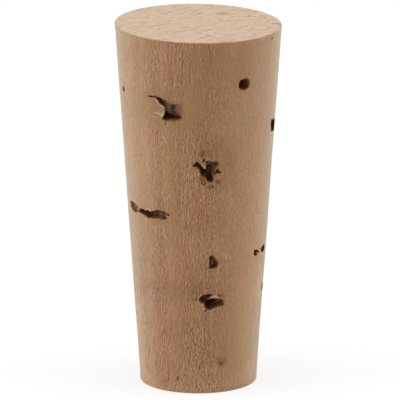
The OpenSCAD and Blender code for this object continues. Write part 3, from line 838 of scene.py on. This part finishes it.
def pit_effect(local, shapes, centre, scale, seed):
    """Depth and marks of one pit at points of the flattened wall, all in millimetres.

    Inside a hollow the depth follows a quarter circle: it is the full depth times
    sqrt(1 - (1 - d)^2), with d the distance to the outline over the wall's width, up to 1.
    The deepest hollow counts. A lump takes a share of the depth away again. Returns the depth
    and the lining, stain, pale and dust marks, each from 0 to 1, or above 1 where a lining is
    black.
    """
    space = np.column_stack([local, np.zeros(len(local))])
    wander = np.column_stack([
        lattice_noise(space, OUTLINE_WAVE, seed), lattice_noise(space, OUTLINE_WAVE, seed + 1),
    ])
    grit = lattice_noise(space, GRIT_WAVE, seed + 2)
    fine = lattice_noise(space, FINE_GRIT_WAVE, seed + 3)
    moved = local + OUTLINE_WANDER * wander
    depth = np.zeros(len(local))
    marks = {"lining": depth, "stain": depth, "pale": depth, "dust": depth}
    for kind, outline, *values in listed(shapes):
        path = (np.array(outline, float) - centre) * scale
        if kind == "hollow":
            full, wall, dark, *over = values
            gap = ring_distance(moved, rounded(path))
            share = np.clip(-gap / wall, 0, 1)
            uneven = 0.5 + 0.5 * grit + FINE_GRIT * fine
            rough = 1 - GRIT_SHARE * smooth_step(0, 1, share) * uneven
            depth = np.maximum(depth, full * np.sqrt(1 - (1 - share) ** 2) * rough)
            inside = smooth_step(LINING_FADE, -LINING_EDGE * wall, gap - sum(over))
            lining = inside * dark * (RIM_LINING + (1 - RIM_LINING) * share)
            marks["lining"] = np.maximum(marks["lining"], lining)
        elif kind == "lump":
            (fill,) = values
            mask = smooth_step(LUMP_EDGE, -LUMP_EDGE, ring_distance(moved, rounded(path)))
            depth = depth * (1 - fill * mask)
            marks["lining"] = marks["lining"] * (1 - LUMP_COVER * fill * mask)
        else:
            strength, soft, *half = values
            gap = mark_distance(moved, path if half else rounded(path), half)
            mottle = 1 - MARK_MOTTLE + MARK_MOTTLE * grit
            kind = "lining" if kind == "crust" else kind
            marks[kind] = np.maximum(marks[kind],
                                     strength * smooth_step(soft, -soft, gap) * mottle)
    return depth, *marks.values()


# ---------------- the skin


def profile_surface(sizes):
    """The stopper without pits, as rows of points from the middle of the base to the top's.

    A point is a function of its row and its turn. Rows run out along the base, round its rim
    on a quarter circle, up the taper, round the other rim and in along the slanted wide end.
    Returns the points in millimetres, row by row, with the two poles last.
    """
    turn = np.arange(sizes.columns) / sizes.columns * 2 * math.pi
    across, along = np.sin(turn), -np.cos(turn)
    rim = sizes.rim_round / MM
    length, cell = sizes.length / MM, sizes.cell / MM
    foot, head = sizes.narrow_r / MM, sizes.wide_r / MM
    bends = np.linspace(0, math.pi / 2, RIM_ROWS)

    def row(radius, height):
        """One row of points, at one radius and height or at one of each for every turn."""
        radius = np.broadcast_to(radius, turn.shape)
        height = np.broadcast_to(height, turn.shape)
        return np.column_stack([radius * across, radius * along, height])

    def steps(start, end, step):
        """Even values between two limits, without them, about a step apart."""
        count = round(abs(end - start) / step)
        return np.linspace(start, end, count + 1)[1:-1]

    def top(radius):
        """The wide end's height round a circle of some radius."""
        return end_height(sizes, radius * across)

    rows = [row(r, 0.0) for r in steps(0, foot - rim, END_STEP * cell)]
    for bend in bends:
        height = rim * (1 - math.cos(bend))
        rows.append(row(wall_radius(sizes, height) - rim * (1 - math.sin(bend)), height))
    for share in steps(0, 1, cell / (length - 2 * rim)):
        height = rim + share * (top(head) - 2 * rim)
        rows.append(row(wall_radius(sizes, height), height))
    for bend in bends:
        height = top(head) - rim * (1 - math.sin(bend))
        rows.append(row(wall_radius(sizes, height) - rim * (1 - math.cos(bend)), height))
    rows += [row(r, top(r)) for r in steps(head - rim, 0, END_STEP * cell)]
    return np.concatenate(rows + [[[0, 0, 0]], [[0, 0, length]]]), len(rows)


def skin_faces(columns, rows):
    """Quads between neighbouring rows, closed round the turn, and a fan at each pole."""
    here = np.arange(columns)
    after = (here + 1) % columns
    start = columns * np.arange(rows - 1)[:, None]
    quads = np.stack([start + here, start + after, start + columns + after,
                      start + columns + here], -1).reshape(-1, 4)
    last = columns * (rows - 1)
    base_pole, top_pole = columns * rows, columns * rows + 1
    base = np.column_stack([np.full(columns, base_pole), after, here])
    top = np.column_stack([np.full(columns, top_pole), last + here, last + after])
    return quads.tolist() + base.tolist() + top.tolist()


def refine(mesh, sizes, pits):
    """Cuts the faces finer round the pits and the wide end's stains."""
    centre = read(mesh.polygons, "center", 3)
    turn, height = turns_of(centre), centre[:, 2]
    wall = wall_radius(sizes, height)
    on_wall = np.hypot(centre[:, 0], centre[:, 1]) > wall - WALL_BAND
    level = np.zeros(len(centre), int)
    for shapes, _, front in pits:
        low, high = shapes_bounds(shapes)
        radius = wall_radius(sizes, (low[1] + high[1]) / 2)
        inside = on_wall & near_box(turn, height, low, high, radius, CUT_MARGIN)
        cuts = sizes.near_cuts if front else sizes.far_cuts
        level[inside] = np.maximum(level[inside], cuts)
    on_top = height > end_height(sizes, centre[:, 0]) - END_BAND
    for outline, *_ in END_STAINS:
        low, high = outline_bounds([outline])
        within = (centre[:, :2] > low - END_MARGIN) & (centre[:, :2] < high + END_MARGIN)
        inside = on_top & within.all(1)
        level[inside] = np.maximum(level[inside], sizes.end_cuts)
    work = bmesh.new()
    work.from_mesh(mesh)
    work.faces.ensure_lookup_table()
    chosen = {cuts: [work.faces[i] for i in np.flatnonzero(level == cuts)]
              for cuts in sorted(set(level.tolist()) - {0})}
    for cuts, block in chosen.items():
        edges = list({edge for face in block for edge in face.edges})
        bmesh.ops.subdivide_edges(work, edges=edges, cuts=cuts, use_grid_fill=True)
    work.to_mesh(mesh)
    work.free()


def carve(points, sizes, pits):
    """Moves the wall's points into the pits, in place. Returns the marks of each point.

    What the finer faces added is first put back on the wall. A point then moves straight in
    towards the axis by the pit's depth, and sideways by the undercut's share of it. The marks
    are lining, stain, pale, dust and how far it is an end face.
    """
    height = points[:, 2].copy()
    radius = np.hypot(points[:, 0], points[:, 1])
    turn = turns_of(points)
    rim = sizes.rim_round / MM
    top = end_height(sizes, points[:, 0])
    wall = wall_radius(sizes, height)
    past_rim = RIM_REACH * rim
    on_wall = (radius > wall - WALL_BAND) & (height > past_rim) & (height < top - past_rim)
    radius = np.where(on_wall, wall, radius)
    marks = np.zeros((len(points), 5))
    marks[:, 4] = smooth_step(END_FROM * rim, END_FULL * rim, wall - radius)
    dips = 0.5 + 0.5 * lattice_noise(points * DIP_SQUEEZE, DIP_WAVE, DIP_SEED)
    fade = np.minimum(smooth_step(rim, DIP_FADE, height),
                      smooth_step(rim, DIP_FADE, top - height))
    move_in = np.where(on_wall, sizes.unevenness / MM * dips * fade, 0.0)
    move_round = np.zeros(len(points))
    for index, (shapes, undercut, _) in enumerate(pits):
        low, high = shapes_bounds(shapes)
        centre = (low + high) / 2
        centre_r = wall_radius(sizes, centre[1])
        inside = on_wall & near_box(turn, height, low, high, centre_r, PIT_MARGIN)
        if not inside.any():
            continue
        scale = flat_scale(centre_r)
        apart = np.column_stack([(turn[inside] - centre[0] + 180) % 360 - 180,
                                 height[inside] - centre[1]])
        depth, *four = pit_effect(apart * scale, shapes, centre, scale,
                                  PIT_SEED + SEED_STEP * index)
        move_in[inside] = np.maximum(move_in[inside],
                                     depth + move_in[inside] * (depth < SHALLOW))
        deepest = max([shape[1] for shape in shapes.get("hollow", [])], default=1.0)
        move_round[inside] -= undercut * depth / deepest
        marks[inside, :4] = np.maximum(marks[inside, :4], np.column_stack(four))
    angle = np.radians(turn) + move_round / np.maximum(radius, LEAST_RADIUS)
    radius = radius - move_in
    points[:, 0] = radius * np.sin(angle)
    points[:, 1] = -radius * np.cos(angle)
    return marks


def mark_end(points, sizes, marks):
    """Adds the wide end's stains to the marks, from the distance to each outline."""
    inside = points[:, 2] > end_height(sizes, points[:, 0]) - END_BAND
    spots = points[inside, :2]
    stain = marks[inside, 1]
    for outline, strength, soft, *half in END_STAINS:
        gap = mark_distance(spots, np.array(outline), half)
        stain = np.maximum(stain, strength * smooth_step(soft, -soft, gap))
    marks[inside, 1] = stain


def wall_tones(points, sizes):
    """The broad tones of each point: redness, lightness (painted bounce light along the narrow
    end) and strength of strokes.

    Each is 0.5 where nothing is set. A tone adds or takes away half its strength, faded over
    its soft edge.
    """
    turn, height = turns_of(points), points[:, 2]
    tones = np.full((len(points), 3), 0.5)
    for kind, outline, strength, soft, *half in listed(TONES):
        low, high = outline_bounds([outline])
        centre = (low + high) / 2
        radius = wall_radius(sizes, centre[1])
        near = near_box(turn, height, low, high, radius, 2 * soft + TONE_REACH)
        scale = flat_scale(radius)
        spots = (np.column_stack([turn[near], height[near]]) - centre) * scale
        wander = lattice_noise(points[near] + TONE_SHIFT, TONE_WAVE, TONE_SEED)
        gap = mark_distance(spots, (np.array(outline) - centre) * scale, half)
        channel, move = TONE_MOVES[kind]
        gap += TONE_WANDER * soft * wander
        tones[near, channel] += move * strength * smooth_step(soft, -soft, gap)
    return np.clip(tones, 0, 1)


def add_colours(mesh, name, values):
    """Stores four numbers for each vertex as a colour attribute."""
    layer = mesh.attributes.new(name, "FLOAT_COLOR", "POINT")
    layer.data.foreach_set("color", values.astype(np.float32).ravel())


def build_skin(sizes):
    """The stopper's whole skin as one closed mesh, in metres, with its marks and tones.

    The faces that are lined with crust take the second material, and the ends the third.
    """
    points, rows = profile_surface(sizes)
    mesh = bpy.data.meshes.new("cork_stopper")
    mesh.from_pydata(points.tolist(), [], skin_faces(sizes.columns, rows))
    pits = all_pits(sizes)
    refine(mesh, sizes, pits)
    points = read(mesh.vertices, "co", 3)
    tones = wall_tones(points, sizes)
    marks = carve(points, sizes, pits)
    mark_end(points, sizes, marks)
    mesh.vertices.foreach_set("co", (points * MM).ravel())
    add_colours(mesh, "marks", marks[:, [0, 1, 2, 4]])
    add_colours(mesh, "tones", np.column_stack([tones, marks[:, 3]]))
    corners = read(mesh.loops, "vertex_index", kind=int)
    starts = read(mesh.polygons, "loop_start", kind=int)
    lined = np.maximum.reduceat(marks[corners, 0], starts) > CRUST_FROM
    lined |= np.maximum.reduceat(marks[corners, 1], starts) > STAIN_FROM
    ended = np.minimum.reduceat(marks[corners, 4], starts) > 0.5
    mesh.polygons.foreach_set("material_index", np.where(lined, 1, np.where(ended, 2, 0)))
    mesh.polygons.foreach_set("use_smooth", np.ones(len(mesh.polygons), bool))
    mesh.set_sharp_from_angle(angle=math.radians(SHARP_FROM))
    mesh.update()
    return mesh


# ---------------- nodes

COLOUR, FLOAT, VECTOR = "NodeSocketColor", "NodeSocketFloat", "NodeSocketVector"
WHITE, BLACK = (1, 1, 1, 1), (0, 0, 0, 1)

# Noises in the cork: patterns to the millimetre out of the bark, across it and up it, where
# each starts, and its detail, roughness and distortion
WANDER = ((0.3, 0.16, 0.09), (0, 0, 0), 2)
LINES = ((4.0, 0.16, 0.08), (7, 3, 1), 2)
HUES = ((0.9, 0.25, 0.13), (2, 8, 3), 2)
PATCHES = ((0.4, 0.4, 0.25), (3, 9, 4), 3)
FINE_GRAIN = ((8.8, 7.0, 3.4), (9, 1, 5), 1)
SWAY = ((1.3, 1.3, 1.2), (4, 2, 6), 1)
TICKS = ((6.0, 4.4, 3.0), (1, 6, 2), 1, 0.5, 0.2)
STREAKS = ((2.2, 0.5, 0.4), (0, 0, 0), 2, 0.6, 0.8)
CELLS = ((2.6, 1.6, 2.0), (2, 5, 7), 2, 0.65)
# A stroke is the difference of one noise at two places, which start a little apart
STROKE_SIDES = [((8.0, 5.4, 1.1), (5, 0, 8), 1), ((8.0, 5.4, 1.1), (5.6, 0.4, 8), 1)]
# The crumbs in the pits, in patterns to the metre
CRUMBLE = ((4500.0,) * 3, (0, 0, 0), 3, 0.6)
# Smooth rises: where each starts and ends, and the values that it runs between
HUE_RISE = (0.3, 0.7, -0.45, 0.45)
TINT_RISE = (0.25, 0.75, -0.9, 0.9)
STROKE_RISE = (-0.22, 0.22, -0.56, 0.56)
RING_RISE = (0.36, 0.62, 0.35, 1.2)
TICK_RISE = (0.31, 0.24, 0.0, 1.0)
CRUMBLE_RISE = (0.3, 0.7, 0.10, -0.14)
CRUST_RISE = (0.03, 0.4, 0.0, 1.0)
ROUGH_RISE = (0.0, 0.6, 0.55, 0.9)
# How far the rings wander, in millimetres
RING_WANDER = 1.1
# How much lines, patches and the lightness that is set count in the grain
LINE_SHARE, PATCH_SHARE, LIGHT_SHARE = 0.36, 0.20, 0.70
GRAIN_SHARE = 1.9
# Over how many millimetres of height a seam fades out at its ends
SEAM_FADE = 1
# Ring lines and cells of the ends: where each sets in and is full, its strength and colour
END_LOOK = [
    ("streaks", 0.55, 0.30, 1.0, "end_streak"), ("cells", 0.48, 0.28, 0.8, "end_streak"),
    ("cells", 0.52, 0.72, 0.6, "end_fleck"),
]
# Colours of the crust: the lining at which each sets in and is full
CRUST_LOOK = [(0.30, 0.65, "crust"), (0.60, 0.95, "lining"), (0.95, 1.15, "soot")]
# Grit of the ends against the wall's, and the height of the finest relief in millimetres
END_GRIT = 3.0
RELIEF = 0.030
# The velvet of fine cork, the dull crust of its pits, and its sanded ends
FINISHES = {
    "cork": {"Specular IOR Level": 0.25, "Sheen Weight": 0.62, "Sheen Roughness": 0.55,
             "Sheen Tint": (1.0, 0.98, 0.82, 1.0)},
    "pit_crust": {"Specular IOR Level": 0.08},
    "sanded_end": {"Specular IOR Level": 0.35, "Sheen Weight": 0.25, "Sheen Roughness": 0.4,
                   "Sheen Tint": (1.0, 1.0, 0.95, 1.0)},
}


def add_node(tree, kind, inputs=None, **settings):
    """Adds a node, sets its properties, and links or fills its inputs by name or number."""
    made = tree.nodes.new(kind)
    for key, value in settings.items():
        setattr(made, key, value)
    for key, value in (inputs or {}).items():
        if isinstance(value, bpy.types.NodeSocket):
            tree.links.new(value, made.inputs[key])
        else:
            made.inputs[key].default_value = value
    return made


def math_node(tree, operation, a, b=0.0, clamp=False):
    """One arithmetic step."""
    made = add_node(tree, "ShaderNodeMath", {0: a, 1: b}, operation=operation, use_clamp=clamp)
    return made.outputs[0]


def vector_node(tree, operation, a, b, output="Vector"):
    """One step of vector arithmetic."""
    made = add_node(tree, "ShaderNodeVectorMath", {0: a, 1: b}, operation=operation)
    return made.outputs[output]


def blend(tree, share, a, b):
    """Two colours blended by a share. The mix node's sockets 6, 7 and 2 are its colours."""
    made = add_node(tree, "ShaderNodeMix", {0: share, 6: a, 7: b}, data_type="RGBA")
    return made.outputs[2]


def stretch(tree, vector, scale, offset):
    """A vector scaled along each axis, then moved."""
    return vector_node(tree, "ADD", vector_node(tree, "MULTIPLY", vector, scale), offset)


def noise(tree, vector, scale, offset, detail, roughness=0.5, distortion=0.0):
    """A noise texture over a scaled and moved vector, as a number and as a colour."""
    return add_node(tree, "ShaderNodeTexNoise", {
        "Vector": stretch(tree, vector, scale, offset), "Scale": 1.0, "Detail": detail,
        "Roughness": roughness, "Distortion": distortion}).outputs


def ramp(tree, value, low, high, to_low=0.0, to_high=1.0):
    """A smooth rise from to_low to to_high, between low and high."""
    made = add_node(tree, "ShaderNodeMapRange", {
        0: value, 1: low, 2: high, 3: to_low, 4: to_high}, interpolation_type="SMOOTHSTEP")
    return made.outputs[0]


def split(tree, colour):
    """A colour's red, green and blue."""
    return add_node(tree, "ShaderNodeSeparateColor", {0: colour}).outputs


def stored(tree, name):
    """The four numbers of a colour attribute."""
    layer = add_node(tree, "ShaderNodeAttribute", attribute_name=name,
                     attribute_type="GEOMETRY").outputs
    return (*split(tree, layer["Color"]), layer["Alpha"])


def rgba(colour):
    """A colour property as a socket's four numbers."""
    return (*colour, 1.0)


def new_group(name, inputs, outputs):
    """An empty node group with named sockets: (name, type, default) in and (name, type) out."""
    group = bpy.data.node_groups.new(name, "ShaderNodeTree")
    for label, kind, value in inputs:
        socket = group.interface.new_socket(label, in_out="INPUT", socket_type=kind)
        if value is not None:
            socket.default_value = value
    for label, kind in outputs:
        group.interface.new_socket(label, in_out="OUTPUT", socket_type=kind)
    return group, group.nodes.new("NodeGroupInput").outputs


def empty_tree(owner):
    """The node tree of a material or a world, with nothing in it."""
    owner.use_nodes = True
    owner.node_tree.nodes.clear()
    return owner.node_tree


def new_material(name, fill):
    """A principled material. Fill makes the shader's inputs in the material's tree."""
    material = bpy.data.materials.new(name)
    tree = empty_tree(material)
    shader = add_node(tree, "ShaderNodeBsdfPrincipled", fill(tree))
    add_node(tree, "ShaderNodeOutputMaterial", {"Surface": shader.outputs[0]})
    return material


# ---------------- cork


def ring_ramp(tree, along):
    """What the growth rings are like, by their place along the bark's radius.

    The stops give, from left to right over RING_SPAN millimetres: how light the ring is, how
    red it is, and how strongly it is stroked, each with 0.5 as its middle.
    """
    position = math_node(tree, "ADD", math_node(tree, "DIVIDE", along, RING_SPAN), 0.5)
    made = add_node(tree, "ShaderNodeValToRGB", {0: position})
    ramp_stops = made.color_ramp
    ramp_stops.interpolation = "EASE"
    for at, (place, *_) in zip(ramp_stops.elements, (RING_PLACES[0], RING_PLACES[-1])):
        at.position = place / RING_SPAN + 0.5
    for place, *_ in RING_PLACES[1:-1]:
        ramp_stops.elements.new(place / RING_SPAN + 0.5)
    for stop, (_, light, red, strokes) in zip(ramp_stops.elements, RING_PLACES):
        stop.color = (light, red, strokes, 1.0)
    return split(tree, made.outputs[0])


def add_seams(tree, along, up, light):
    """The lightness with the thin seams added, each faded out beside and beyond its line."""
    for place, half, strength, low, high in SEAMS:
        apart = math_node(tree, "ABSOLUTE", math_node(tree, "SUBTRACT", along, place))
        off = math_node(tree, "ABSOLUTE", math_node(tree, "SUBTRACT", up, (low + high) / 2))
        reach = (high - low) / 2
        shown = ramp(tree, off, reach + SEAM_FADE, reach - SEAM_FADE)
        seam = math_node(tree, "MULTIPLY", shown, ramp(tree, apart, half, 0.0, 0.0, strength))
        light = math_node(tree, "ADD", light, seam)
    return light


def grain_group():
    """Cork grain in bark axes, in millimetres: X out of the tree, Y level, Z up the tree.

    The growth rings are looked up along X, which leans and wanders a little. Strokes are the
    difference of a noise drawn out along Z and the same noise a little way off, stronger in
    some rings than in others. Added to them are the rings' own lightness, lines, patches, a
    fine grain, the seams and a few dark ticks, and the sum is blended towards the pale or the
    dark colour. The height is the same sum.
    """
    group, given = new_group("Cork grain", [
        ("Vector", VECTOR, None), ("Rose", COLOUR, WHITE), ("Olive", COLOUR, WHITE),
        ("Dark", COLOUR, BLACK), ("Pale", COLOUR, WHITE),
        ("Redness", FLOAT, 0.5), ("Lightness", FLOAT, 0.5), ("Strokes", FLOAT, 0.5),
    ], [("Color", COLOUR), ("Height", FLOAT)])
    calc, mix = partial(math_node, group), partial(blend, group)
    rise, field = partial(ramp, group), partial(noise, group)
    spot = given["Vector"]
    wander = stretch(group, field(spot, *WANDER)["Color"], (RING_WANDER, 0.0, 0.0),
                     (-RING_WANDER / 2, 0.0, 0.0))
    lean = vector_node(group, "DOT_PRODUCT", spot, (0.0, 0.0, -RING_LEAN), "Value")
    lean = add_node(group, "ShaderNodeCombineXYZ", {0: lean}).outputs[0]
    ringed = vector_node(group, "ADD", spot, vector_node(group, "ADD", wander, lean))
    along, _, up = add_node(group, "ShaderNodeSeparateXYZ", {0: ringed}).outputs
    ring = ring_ramp(group, along)
    lines = field(ringed, *LINES)[0]
    hues = field(ringed, *HUES)[0]
    patches = field(spot, *PATCHES)[0]
    grain, tint = field(ringed, *FINE_GRAIN)
    sway = stretch(group, field(spot, *SWAY)["Color"], (THREAD_SWAY, THREAD_SWAY, 0.0),
                   (0, 0, 0))
    swayed = vector_node(group, "ADD", ringed, sway)
    strokes = calc("SUBTRACT", *[field(swayed, *side)[0] for side in STROKE_SIDES])
    ticks = field(spot, *TICKS)[0]

    red = calc("ADD", ring["Green"], rise(hues, *HUE_RISE))
    red = calc("ADD", red, rise(split(group, tint)["Green"], *TINT_RISE))
    red = calc("ADD", red, calc("SUBTRACT", given["Redness"], 0.5), clamp=True)
    ground = mix(red, given["Olive"], given["Rose"])
    strength = calc("MULTIPLY", ring["Blue"], calc("MULTIPLY", given["Strokes"], 2.0))
    light = calc("MULTIPLY", rise(strokes, *STROKE_RISE), strength)
    for part, share in (
            (ring["Red"], rise(hues, *RING_RISE)), (lines, LINE_SHARE), (patches, PATCH_SHARE),
            (grain, calc("MULTIPLY", strength, GRAIN_SHARE)), (given["Lightness"], LIGHT_SHARE)):
        around = calc("SUBTRACT", part, 0.5)
        light = calc("ADD", calc("MULTIPLY", around, share), light)
    light = add_seams(group, along, up, light)
    light = calc("SUBTRACT", light, rise(ticks, *TICK_RISE))
    pale = calc("MAXIMUM", light, 0.0)
    dark = calc("MAXIMUM", calc("MULTIPLY", light, -1.0), 0.0)
    ground = mix(pale, ground, given["Pale"])
    ground = mix(dark, ground, given["Dark"])
    add_node(group, "NodeGroupOutput", {"Color": ground, "Height": light})
    return group


def surface_group(colours):
    """All of the cork's surface: its grain, its ends, and the stains and crust of its pits.

    The wall has the grain. The ends have ring streaks and cells over their own colour, which is
    made paler to paint the top lamp's light. The marks on the mesh blend in stain, pale lip
    cork with painted highlight, and crust, whose colour goes by how dark the lining is.
    """
    tree, _ = new_group("Cork surface", [],
                        [("Color", COLOUR), ("Roughness", FLOAT), ("Normal", VECTOR)])
    calc, mix = partial(math_node, tree), partial(blend, tree)
    rise, field = partial(ramp, tree), partial(noise, tree)
    place = add_node(tree, "ShaderNodeTexCoord").outputs["Object"]
    bark = add_node(tree, "ShaderNodeMapping", {
        "Vector": place, "Scale": (1 / MM,) * 3,
        "Rotation": (0.0, 0.0, math.radians(90 - BARK_TURN)),
    }).outputs[0]
    lined, stained, torn_and_highlit, ended = stored(tree, "marks")
    redness, lightness, strokes, dusted = stored(tree, "tones")
    wall = add_node(tree, "ShaderNodeGroup", {
        "Vector": bark, "Redness": redness, "Lightness": lightness, "Strokes": strokes,
        "Rose": rgba(colours.rose), "Olive": rgba(colours.olive),
        "Dark": rgba(colours.stroke), "Pale": rgba(colours.fleck)}, node_tree=grain_group())

    fields = {"streaks": field(bark, *STREAKS)[0], "cells": field(bark, *CELLS)[0]}
    # The ends' colours, made paler for painted top light
    end = rgba(colours.end_face_and_top_light)
    for name, low, high, most, colour in END_LOOK:
        share = rise(fields[name], low, high, 0.0, most)
        end = mix(share, end, rgba(getattr(colours, colour)))

    crumble = field(place, *CRUMBLE)[0]
    lining = calc("ADD", lined, rise(crumble, *CRUMBLE_RISE))
    crust = rgba(colours.shelf)
    for low, high, colour in CRUST_LOOK:
        share = rise(lining, low, high)
        crust = mix(share, crust, rgba(getattr(colours, colour)))
    crust = mix(dusted, crust, rgba(colours.dust))
    colour = mix(ended, wall.outputs["Color"], end)
    colour = mix(stained, colour, rgba(colours.stain))
    # Pale cork at the pits' mouths, with painted highlight along the torn pit's flap
    colour = mix(torn_and_highlit, colour, rgba(colours.lip_and_highlight))
    colour = mix(rise(lined, *CRUST_RISE), colour, crust)

    end_grit = calc("ADD", fields["cells"], fields["streaks"])
    grit = mix(ended, wall.outputs["Height"], calc("MULTIPLY", end_grit, END_GRIT))
    height = calc("ADD", grit, calc("MULTIPLY", crumble, lined))
    bump = add_node(tree, "ShaderNodeBump", {"Strength": 1.0, "Distance": RELIEF * MM,
                                             "Height": height})
    add_node(tree, "NodeGroupOutput", {"Color": colour, "Roughness": rise(lined, *ROUGH_RISE),
                                       "Normal": bump.outputs[0]})
    return tree


def cork_material(name, surface):
    """The cork's surface under one of its finishes, so that the colours run on."""
    def fill(tree):
        """The shared surface as the shader's inputs, with the finish."""
        cork = add_node(tree, "ShaderNodeGroup", node_tree=surface).outputs
        return {"Base Color": cork["Color"], "Roughness": cork["Roughness"],
                "Normal": cork["Normal"], "IOR": 1.5, **FINISHES[name]}

    return new_material(name, fill)


# ---------------- studio

# Half the floor's width in metres, and how far it lies under the stopper in millimetres
FLOOR_HALF = 2.0
FLOOR_DROP = 0.02
# The soft boxes: turn and elevation in degrees
PANELS = {"left": (-80, 15), "right": (85, 15), "top": (0, 89)}
# How far off they are and how wide, in metres
PANEL_DISTANCE = 0.6
PANEL_SIZE = 0.5
# The camera's sensor in millimetres, and from where to where it sees, in metres
SENSOR_WIDTH = 36.0
CLIP = (0.01, 10.0)
# How far the camera's aim is right of the stopper's middle and above it, in millimetres
AIM_RIGHT = 0.20
AIM_UP = 0.155


def backdrop_rays(tree):
    """1 for the rays that see the backdrop: from the camera, reflected or let through."""
    path = add_node(tree, "ShaderNodeLightPath").outputs
    seen = math_node(tree, "MAXIMUM", path["Is Camera Ray"], path["Is Glossy Ray"])
    return math_node(tree, "MAXIMUM", seen, path["Is Transmission Ray"])


def white_room(settings):
    """A world that is plain white to look at, and dimmer as a source of diffuse light."""
    world = bpy.data.worlds.new("room")
    tree = empty_tree(world)
    strength = ramp(tree, backdrop_rays(tree), 0.0, 1.0, settings.ambient, 1.0)
    light = add_node(tree, "ShaderNodeBackground", {"Color": WHITE, "Strength": strength})
    add_node(tree, "ShaderNodeOutputWorld", {"Surface": light.outputs[0]})
    bpy.context.scene.world = world


def add_floor(settings):
    """A plain pale floor just under the stopper, which keeps its shadow."""
    half, low = FLOOR_HALF, -FLOOR_DROP * MM
    mesh = bpy.data.meshes.new("floor")
    mesh.from_pydata([(-half, -half, low), (half, -half, low), (half, half, low),
                      (-half, half, low)], [], [(0, 1, 2, 3)])

    def fill(tree):
        """A floor that is white to the rays that see the backdrop."""
        seen = backdrop_rays(tree)
        colour = blend(tree, seen, rgba(settings.floor_colour), rgba(settings.floor_seen))
        return {"Base Color": colour, "Roughness": 1.0, "Specular IOR Level": 0.0,
                "Emission Color": WHITE,
                "Emission Strength": math_node(tree, "MULTIPLY", seen, settings.floor_white)}

    mesh.materials.append(new_material("floor", fill))
    floor = bpy.data.objects.new("floor", mesh)
    bpy.context.collection.objects.link(floor)


def toward(turn, elevation):
    """The unit vector from the object at a turn and an elevation, in degrees."""
    a, e = math.radians(turn), math.radians(elevation)
    return np.array([math.sin(a) * math.cos(e), -math.cos(a) * math.cos(e), math.sin(e)])


def place_facing(name, data, place, target):
    """Adds a lamp or camera at a place, with its -Z to the target and its Y up."""
    back = (place - target) / np.linalg.norm(place - target)
    right = np.cross((0, 0, 1), back)
    right = right / np.linalg.norm(right)
    rotation = np.eye(4)
    rotation[:3, :3] = np.column_stack([right, np.cross(back, right), back])
    rotation[:3, 3] = place
    thing = bpy.data.objects.new(name, data)
    bpy.context.collection.objects.link(thing)
    thing.matrix_world = Matrix(rotation.tolist())
    return thing


def add_panel(side, power, target):
    """A square soft box that faces the target."""
    light = bpy.data.lights.new(f"{side}_panel", "AREA")
    light.shape, light.size, light.energy = "SQUARE", PANEL_SIZE, power
    place_facing(light.name, light, target + PANEL_DISTANCE * toward(*PANELS[side]), target)


def add_camera(settings, middle):
    """The camera in front of the stopper, aimed a little off its middle."""
    data = bpy.data.cameras.new("camera")
    data.lens, data.sensor_width = settings.lens, SENSOR_WIDTH
    data.clip_start, data.clip_end = CLIP
    elevation = math.degrees(settings.elevation)
    right, up = toward(90, 0), toward(180, 90 - elevation)
    target = middle + (AIM_RIGHT * right + AIM_UP * up) * MM
    place = target + settings.distance * toward(0, elevation)
    bpy.context.scene.camera = place_facing("camera", data, place, target)


# ---------------- operators


class CORK_OT_add_stopper(bpy.types.Operator):
    """Build the stopper's skin with its pits, and its cork"""

    bl_idname = "cork.add_stopper"
    bl_label = "Add stopper"

    def execute(self, context):
        mesh = build_skin(context.scene.cork_sizes)
        surface = surface_group(context.scene.cork_colours)
        for name in FINISHES:
            mesh.materials.append(cork_material(name, surface))
        piece = bpy.data.objects.new("cork_stopper", mesh)
        context.collection.objects.link(piece)
        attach(piece, "root")
        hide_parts(NODE)
        return {"FINISHED"}


class CORK_OT_add_studio(bpy.types.Operator):
    """Set up the floor, the room, the lamps and the camera"""

    bl_idname = "cork.add_studio"
    bl_label = "Add studio"

    def execute(self, context):
        settings = context.scene.cork_studio
        middle = np.array([0.0, 0.0, context.scene.cork_sizes.length / 2])
        add_floor(settings)
        white_room(settings)
        for side in PANELS:
            add_panel(side, getattr(settings, f"{side}_power"), middle)
        add_camera(settings, middle)
        return {"FINISHED"}


class CORK_PT_panel(bpy.types.Panel):
    """Lists the pieces and their settings"""

    bl_idname = "CORK_PT_panel"
    bl_label = "Cork stopper"
    bl_space_type = "VIEW_3D"
    bl_region_type = "UI"
    bl_category = "Cork"

    def draw(self, context):
        for settings in ("cork_sizes", "cork_colours", "cork_studio"):
            group = getattr(context.scene, settings)
            for key in group.bl_rna.properties.keys():
                if key not in ("rna_type", "name"):
                    self.layout.prop(group, key)
        self.layout.operator("cork.add_stopper")
        self.layout.operator("cork.add_studio")


CLASSES = (
    StopperSizes, StopperColours, StudioSettings,
    CORK_OT_add_stopper, CORK_OT_add_studio, CORK_PT_panel,
)


def register():
    """Registers the classes and puts their settings on the scene."""
    for cls in CLASSES:
        bpy.utils.register_class(cls)
    bpy.types.Scene.cork_sizes = bpy.props.PointerProperty(type=StopperSizes)
    bpy.types.Scene.cork_colours = bpy.props.PointerProperty(type=StopperColours)
    bpy.types.Scene.cork_studio = bpy.props.PointerProperty(type=StudioSettings)


def unregister():
    """Takes the settings and the classes away again."""
    for settings in ("cork_studio", "cork_colours", "cork_sizes"):
        delattr(bpy.types.Scene, settings)
    for cls in reversed(CLASSES):
        bpy.utils.unregister_class(cls)


def main():
    register()
    bpy.ops.cork.add_stopper()
    bpy.ops.cork.add_studio()
    bpy.context.scene.view_settings.view_transform = "Standard"


if __name__ == "__main__":
    main()
